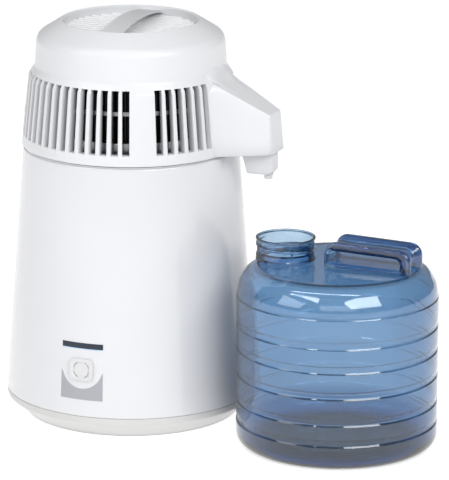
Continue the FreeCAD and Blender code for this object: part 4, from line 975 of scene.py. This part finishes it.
def make_coil(sizes, tree, plated):
    """The wound condenser tube with its drop to the steam port."""
    tube, lid = sizes.coil_tube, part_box("condenser_lid")[1].z
    top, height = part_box("condenser_coil")[1].z - tube, 0.032
    coil = grow(new_piece("wound_coil", (), ()), tree, Turns=float(sizes.coil_turns), Tube=tube,
                Radius=sizes.coil_radius, Height=height, Level=top - height, Material=plated)
    port, bend = sizes.coil_radius - 0.0135, 0.0085
    path = rounded([(sizes.coil_radius + 0.001, top), (port, top, bend), (port, lid)], closed=False)
    return join_meshes(coil, pipe("steam_drop", [Vector((x, 0, z)) for x, z in path], tube))


def pipe(name, path, radius):
    """A round tube along a path that stays in the XZ plane."""
    loops, last = [], len(path) - 1
    for i, point in enumerate(path):
        along = (path[min(i + 1, last)] - path[max(i - 1, 0)]).normalized()
        across = Vector((-along.z, 0, along.x))
        loops.append([point + (across * cos(t) + Vector((0, 1, 0)) * sin(t)) * radius
                      for t in [tau * k / TUBE_SIDES for k in range(TUBE_SIDES)]])
    return loft(name, loops)


# Jug


RING_LEVELS = (0.0250, 0.0440, 0.0685, 0.0920, 0.1138)


def jug_axis():
    low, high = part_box("jug_body")
    return (low.x + high.x) / 2, (low.y + high.y) / 2


def jug_profile(sizes, inset):
    """Half section of the jug from the axis at its foot to the axis at its top."""
    low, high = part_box("jug_body")
    radius, top, flat = (high.x - low.x) / 2 - inset, sizes.top_level - inset, sizes.top_radius - inset
    push_up, heel, floor = 0.0035, 0.062, 1.7 * inset
    corners = [(0, push_up + floor), (heel - 0.006, push_up + floor, 0.004), (heel, floor, 0.004),
               (radius, floor, sizes.foot_round + 5 * inset)]
    half, sunk, flank = sizes.groove_width / 2, radius - sizes.groove_depth, 0.0016
    for level in RING_LEVELS:
        corners += [(radius, level - half, 0.0012), (sunk, level - half + flank, 0.0012),
                    (sunk, level + half - flank, 0.0012), (radius, level + half, 0.0012)]
    corners += [
        (radius, 0.1370, 0.0006), (radius - 0.0007, 0.1380, 0.0006), (radius - 0.0009, 0.1392, 0.0006),
        (0.0885 - inset, 0.1480, 0.030), (0.0815 - inset, 0.1595, 0.014), (flat, top, 0.0015),
        (flat - 0.004, top), (0, top)]
    return rounded(corners, closed=False, steps=4)


def make_jug(sizes):
    """The blown shell: the outer form less the inner one, with the neck open."""
    x, y = jug_axis()
    centre, base, top = (x - sizes.neck_offset, y), sizes.top_level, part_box("jug_body")[1].z
    bead, body, bore = sizes.neck_radius, sizes.neck_radius - 0.0011, sizes.neck_radius - sizes.neck_wall
    throat, buried, past = bore - 0.0020, base - sizes.wall - 0.001, top + 0.0005

    turning = {"closed": False, "steps": 3, "centre": centre, "segments": NECK_ROUND}
    shell = revolve("jug_shell", jug_profile(sizes, 0), (x, y), loop=False)
    hollow = revolve("jug_hollow", jug_profile(sizes, sizes.wall), (x, y), loop=False)
    neck = lathe("neck", [
        (0, base - 0.001), (bead, base - 0.001), (bead, base + 0.0012, 0.0008), (body, base + 0.0022, 0.001),
        (body, top - 0.0022, 0.0006), (bead, top - 0.0014, 0.0005), (bead, top, 0.0008), (0, top)], **turning)
    mouth = lathe("mouth", [
        (0, buried), (throat, buried), (throat, base + 0.0052, 0.001), (bore, base + 0.0072, 0.001),
        (bore, top - 0.0006, 0.0008), (bore + 0.0009, past), (0, past)], **turning)
    combine(shell, neck, "UNION")
    combine(shell, make_thread(sizes, centre, body - 0.0002, top - 0.0046), "UNION")
    combine(hollow, mouth, "UNION")
    return combine(shell, hollow, "DIFFERENCE")


def make_thread(sizes, centre, radius, start):
    """The neck's screw thread: a tapering bead of one and a quarter turns down from its start."""
    rise, turns, first = sizes.thread_rise / pi, tau * 1.25, radians(150)
    steps, sides, taper, blunt, loops = 120, 10, 12, 0.15, []
    for i in range(steps + 1):
        share = i / steps
        size = sizes.thread_radius * min(1, taper * share + blunt, taper * (1 - share) + blunt)
        middle = Vector((*centre, start - rise * turns * share))
        out, up = polar(1, first + turns * share, 0), Vector((0, 0, 1))
        loops.append([middle + out * (radius + size * cos(t)) + up * (size * 1.1 * sin(t))
                      for t in [tau * k / sides for k in range(sides)]])
    return loft("thread", loops)


def make_handle(sizes):
    """A grip swept round the finger opening, with a rail on each side and a channel between them."""
    low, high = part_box("jug_handle")
    middle, half = (low.y + high.y) / 2, (high.y - low.y) / 2
    foot, right, end, depth = low.z - 0.0004, high.x - 0.0004, 0.0012, 0.009
    outer = rounded([(low.x, foot, end), (low.x + 0.0003, high.z, sizes.grip_heel),
                     (right, high.z - 0.0021, sizes.grip_nose), (right - 0.0004, foot, end)], steps=10)
    opening, near = low.x + 0.0037, right - 0.0105
    inner = rounded([(opening, foot + 0.0050, 0.0022), (opening, high.z - 0.0085, 0.0045),
                     (near, high.z - 0.0102, 0.0055), (near, foot + 0.0040, 0.0022)], steps=10)
    floor, rail, chamfer = sizes.grip_channel, 0.0048, 0.0028
    # Across the grip, and from its inner side at 0 to its outer side at 1; radii are shares too
    section = rounded([(y, share * depth, radius * depth) for y, share, radius in (
        (-half, 0.30, 0.22), (-half, 1.0, 0.30), (rail - half, 1.0, 0.16),
        (rail + 0.0012 - half, floor, 0.22), (half - 0.0120, floor, 0.50), (half - rail, 1.0, 0.20),
        (half, 1.0, 0.30), (half, 0.30, 0.22), (half - chamfer, 0.0, 0.20), (chamfer - half, 0.0, 0.20))],
        steps=5)
    loops = []
    for out, back in zip(outer, inner):
        span = (out - back) / depth
        loops.append([Vector((back.x + span.x * share, middle + y, back.y + span.y * share))
                      for y, share in section])
    return loft("jug_grip", loops, capped=False, along=True)


# Operators


def chosen(context, group):
    """The sizes of one group, and the colours."""
    settings = context.scene.distiller
    return getattr(settings, group), settings.colours


class DISTILLER_OT_boiler(Operator):
    """Make the casing and the base, and give the boiler's inner nodes their materials"""

    bl_idname = "distiller.boiler"
    bl_label = "Boiler"

    def execute(self, context):
        sizes, colours = chosen(context, "boiler")
        pan_plastic = moulded("Base plastic", colours.base, 0.38)
        dress(make_casing(sizes), "boiler", enamel(colours.enamel), "enamel", "casing")
        dress(make_base(sizes), "boiler", pan_plastic, "pan_plastic", "base_pan")
        finish_nodes(soft_rubber("Foot rubber", (0.03, 0.03, 0.032)), "foot_ring")
        finish_nodes(steel("Brushed stainless", colours.steel), "tank", "tank_floor")
        finish_nodes(zinc(), "bottom_cover")
        finish_nodes(grain(metal("Cast aluminium", (0.5, 0.5, 0.51), 0.5), 500, 0.0002), "heater_plate")
        finish_nodes(varied(metal("Brass", (0.72, 0.53, 0.22), 0.3), 0.2, 0.4, 120),
                     "heater_terminals", "inlet_pins")
        finish_nodes(moulded("Black moulding", colours.black, 0.45),
                     "thermostats", "reset_switch", "power_inlet", "fan_socket")
        return {"FINISHED"}


class DISTILLER_OT_controls(Operator):
    """Make the reset button, its bezel and the two plain marks"""

    bl_idname = "distiller.controls"
    bl_label = "Button and Marks"

    def execute(self, context):
        sizes, colours = chosen(context, "boiler")
        white = moulded("White button plastic", colours.button, 0.28)
        dress(make_bezel(sizes), "boiler", white, "bezel_plastic", "reset_bezel")
        dress(make_button(sizes), "button", white, "bezel_plastic", "reset_button")
        panel, strip = make_marks(sizes)
        dress(panel, "boiler", moulded("Print grey", colours.print_grey, 0.42), "panel_print", "label_plate")
        slate = footed(moulded("Slate strip", colours.slate, 0.3), (0.36, 0.58, 0.80), 0.0835, 0.0837)
        dress(strip, "boiler", slate, "badge", "badge_strip")
        return {"FINISHED"}


class DISTILLER_OT_screws(Operator):
    """Make the screws under the base and under the motor bracket"""

    bl_idname = "distiller.screws"
    bl_label = "Screws"

    def execute(self, context):
        tree, plate, radius, height = round_tree(), zinc(), 0.003, 0.0012
        for name, node, body, number, first in (
                ("base_screw_heads", "base_screws", "boiler", 4, 0.0),
                ("bracket_screw_heads", "bracket_screws", "head", 3, radians(30))):
            low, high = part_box(node)
            reach = max(abs(low.x), abs(high.x), abs(low.y), abs(high.y)) - radius
            head = screw_head(name, radius, height, Vector((reach, 0, low.z + height)))
            grow(head, tree, Count=number, First=first, Material=plate)
            dress(head, body, plate, "zinc_plate", node)
        return {"FINISHED"}


class DISTILLER_OT_head(Operator):
    """Make the head's moulding with its louvres and spout, the outlet cup, the grille and the bar"""

    bl_idname = "distiller.head"
    bl_label = "Head"

    def execute(self, context):
        sizes, colours = chosen(context, "head")
        plastic = moulded("Head plastic", colours.head, 0.3)
        # The slats get a lighter copy of the head's plastic: painted light.
        slat_plastic_painted_light = moulded("Grille plastic", colours.grille, 0.35)
        shell = join_meshes(make_head_shell(sizes), make_spout(sizes))
        dress(shell, "head", plastic, "head_plastic", "head_shell")
        dress(make_cup(), "cup", plastic, "head_plastic", "outlet_cup")
        dress(make_grille(sizes, row_tree(), slat_plastic_painted_light), "head", slat_plastic_painted_light, "grille_plastic", "top_grille")
        dress(make_bar(sizes), "head", moulded("Bar plastic", colours.bar, 0.34), "bar_plastic", "carry_bar")
        finish_nodes(plastic, "fan_lead_gland")
        finish_nodes(soft_rubber("Filter cloth", (0.7, 0.7, 0.68)), "carbon_filter")
        return {"FINISHED"}


class DISTILLER_OT_condenser(Operator):
    """Make the finned condenser and its coil, and give the fan its materials"""

    bl_idname = "distiller.condenser"
    bl_label = "Condenser and Fan"

    def execute(self, context):
        sizes, colours = chosen(context, "condenser")
        # The darker steel is painted shade for the lid and the hoop behind the louvres.
        tube, shaded_steel = steel("Brushed tube", colours.steel), steel("Dull steel", colours.shaded_steel)
        coating = coated_fins(colours.fins)
        dress(make_fins(sizes, round_tree(), coating), "head", coating, "fin_black", "condenser_fins")
        dress(make_hoop(sizes), "head", shaded_steel, "stainless", "condenser_band")
        dress(make_coil(sizes, coil_tree(), tube), "head", tube, "stainless", "condenser_coil")
        finish_nodes(shaded_steel, "condenser_lid")
        finish_nodes(tube, "fan_motor", "fan_shaft")
        finish_nodes(zinc(), "motor_bracket")
        finish_nodes(moulded("Fan plastic", colours.black, 0.4), "impeller")
        finish_nodes(soft_rubber("Silicone", (0.62, 0.62, 0.6)), "lid_gasket", "outlet_tube")
        return {"FINISHED"}


class DISTILLER_OT_jug(Operator):
    """Make the clear blue jug and its handle"""

    bl_idname = "distiller.jug"
    bl_label = "Jug"

    def execute(self, context):
        sizes, colours = chosen(context, "jug")
        # Below the heel the jug gets a deeper blue base colour: partly the thick plastic's own tint, partly
        # painted shade.
        clear = footed(tinted_clear("Clear blue plastic", colours.jug, 500), (0.20, 0.46, 0.66), 0.014, 0.030)
        grip = tinted_clear("Clear blue grip", colours.handle, 130, (0.56, 0.78, 0.98))
        dress(make_jug(sizes), "jug", clear, "jug_blue", "jug_body")
        dress(make_handle(sizes), "jug", grip, "jug_handle_blue", "jug_handle")
        return {"FINISHED"}


# Stage


LIGHTS = (
    ("Left window", (-1.7, -2.5, 1.6), (1.8, 1.6), 18),
    ("Front wash", (1.7, -3.8, 2.0), (3.2, 2.0), 23),
    ("Right window", (2.0, -1.3, 1.7), (1.7, 1.2), 34),
    ("Thin strip", (-0.7, -1.7, 2.1), (1.6, 0.25), 7),
    ("Rail strip", (0.08, -0.6, 2.3), (2.4, 0.14), 11),
)
AIM = Vector((0.08, -0.02, 0.18))
CAMERA_PLACE = Vector((1.36362, -3.06995, 1.0655))
CAMERA_TURN = (radians(74.8567), radians(-0.1106), radians(22.52994))
CAMERA_LENS = 284.67


def soft_light(scene, name, place, size, power):
    """A rectangular light that faces the object."""
    light = bpy.data.lights.new(name, "AREA")
    light.shape = "RECTANGLE"
    light.size, light.size_y = size
    light.energy = power
    lamp = bpy.data.objects.new(name, light)
    lamp.location = place
    lamp.rotation_euler = (AIM - Vector(place)).to_track_quat("-Z", "Y").to_euler()
    scene.collection.objects.link(lamp)


class DISTILLER_OT_stage(Operator):
    """Make the pale floor, the soft lights and the camera"""

    bl_idname = "distiller.stage"
    bl_label = "Stage"

    def execute(self, context):
        scene = context.scene
        floor = revolve("pale_floor", [(0, FLOOR_LEVEL), (9.0, FLOOR_LEVEL)], segments=64, loop=False)
        floor.data.materials.append(pale_floor())
        scene.world = bpy.data.worlds.new("Pale room")
        scene.world.use_nodes = True
        room = scene.world.node_tree
        plug(room, room.nodes["Background"], Color=(1.0, 1.0, 1.0, 1.0), Strength=0.33)
        scene.view_settings.view_transform = "Standard"
        for light in LIGHTS:
            soft_light(scene, *light)
        camera = bpy.data.objects.new("Camera", bpy.data.cameras.new("Camera"))
        camera.location = CAMERA_PLACE
        camera.rotation_euler = CAMERA_TURN
        camera.data.lens = CAMERA_LENS
        camera.data.sensor_width = 36.0
        camera.data.clip_end = 50.0
        scene.collection.objects.link(camera)
        scene.camera = camera
        return {"FINISHED"}


class DISTILLER_PT_panel(Panel):
    """The distiller's sizes, colours and operators"""

    bl_idname = "DISTILLER_PT_panel"
    bl_label = "Water Distiller"
    bl_space_type = "VIEW_3D"
    bl_region_type = "UI"
    bl_category = "Distiller"

    def draw(self, context):
        for operator in PIECES:
            self.layout.operator(operator.bl_idname)
        for group in ("boiler", "head", "condenser", "jug", "colours"):
            box = self.layout.box()
            box.label(text=group.capitalize())
            settings = getattr(context.scene.distiller, group)
            for name in settings.__annotations__:
                box.prop(settings, name)


PIECES = (DISTILLER_OT_boiler, DISTILLER_OT_controls, DISTILLER_OT_screws, DISTILLER_OT_head,
          DISTILLER_OT_condenser, DISTILLER_OT_jug, DISTILLER_OT_stage)
GROUPS = (BoilerSizes, HeadSizes, CondenserSizes, JugSizes, FinishColours, DistillerSettings)
CLASSES = (*GROUPS, *PIECES, DISTILLER_PT_panel)


def register():
    for item in CLASSES:
        bpy.utils.register_class(item)
    bpy.types.Scene.distiller = PointerProperty(type=DistillerSettings)


def unregister():
    del bpy.types.Scene.distiller
    for item in reversed(CLASSES):
        bpy.utils.unregister_class(item)


def main():
    register()
    for operator in PIECES:
        category, name = operator.bl_idname.split(".")
        getattr(getattr(bpy.ops, category), name)()


if __name__ == "__main__":
    main()
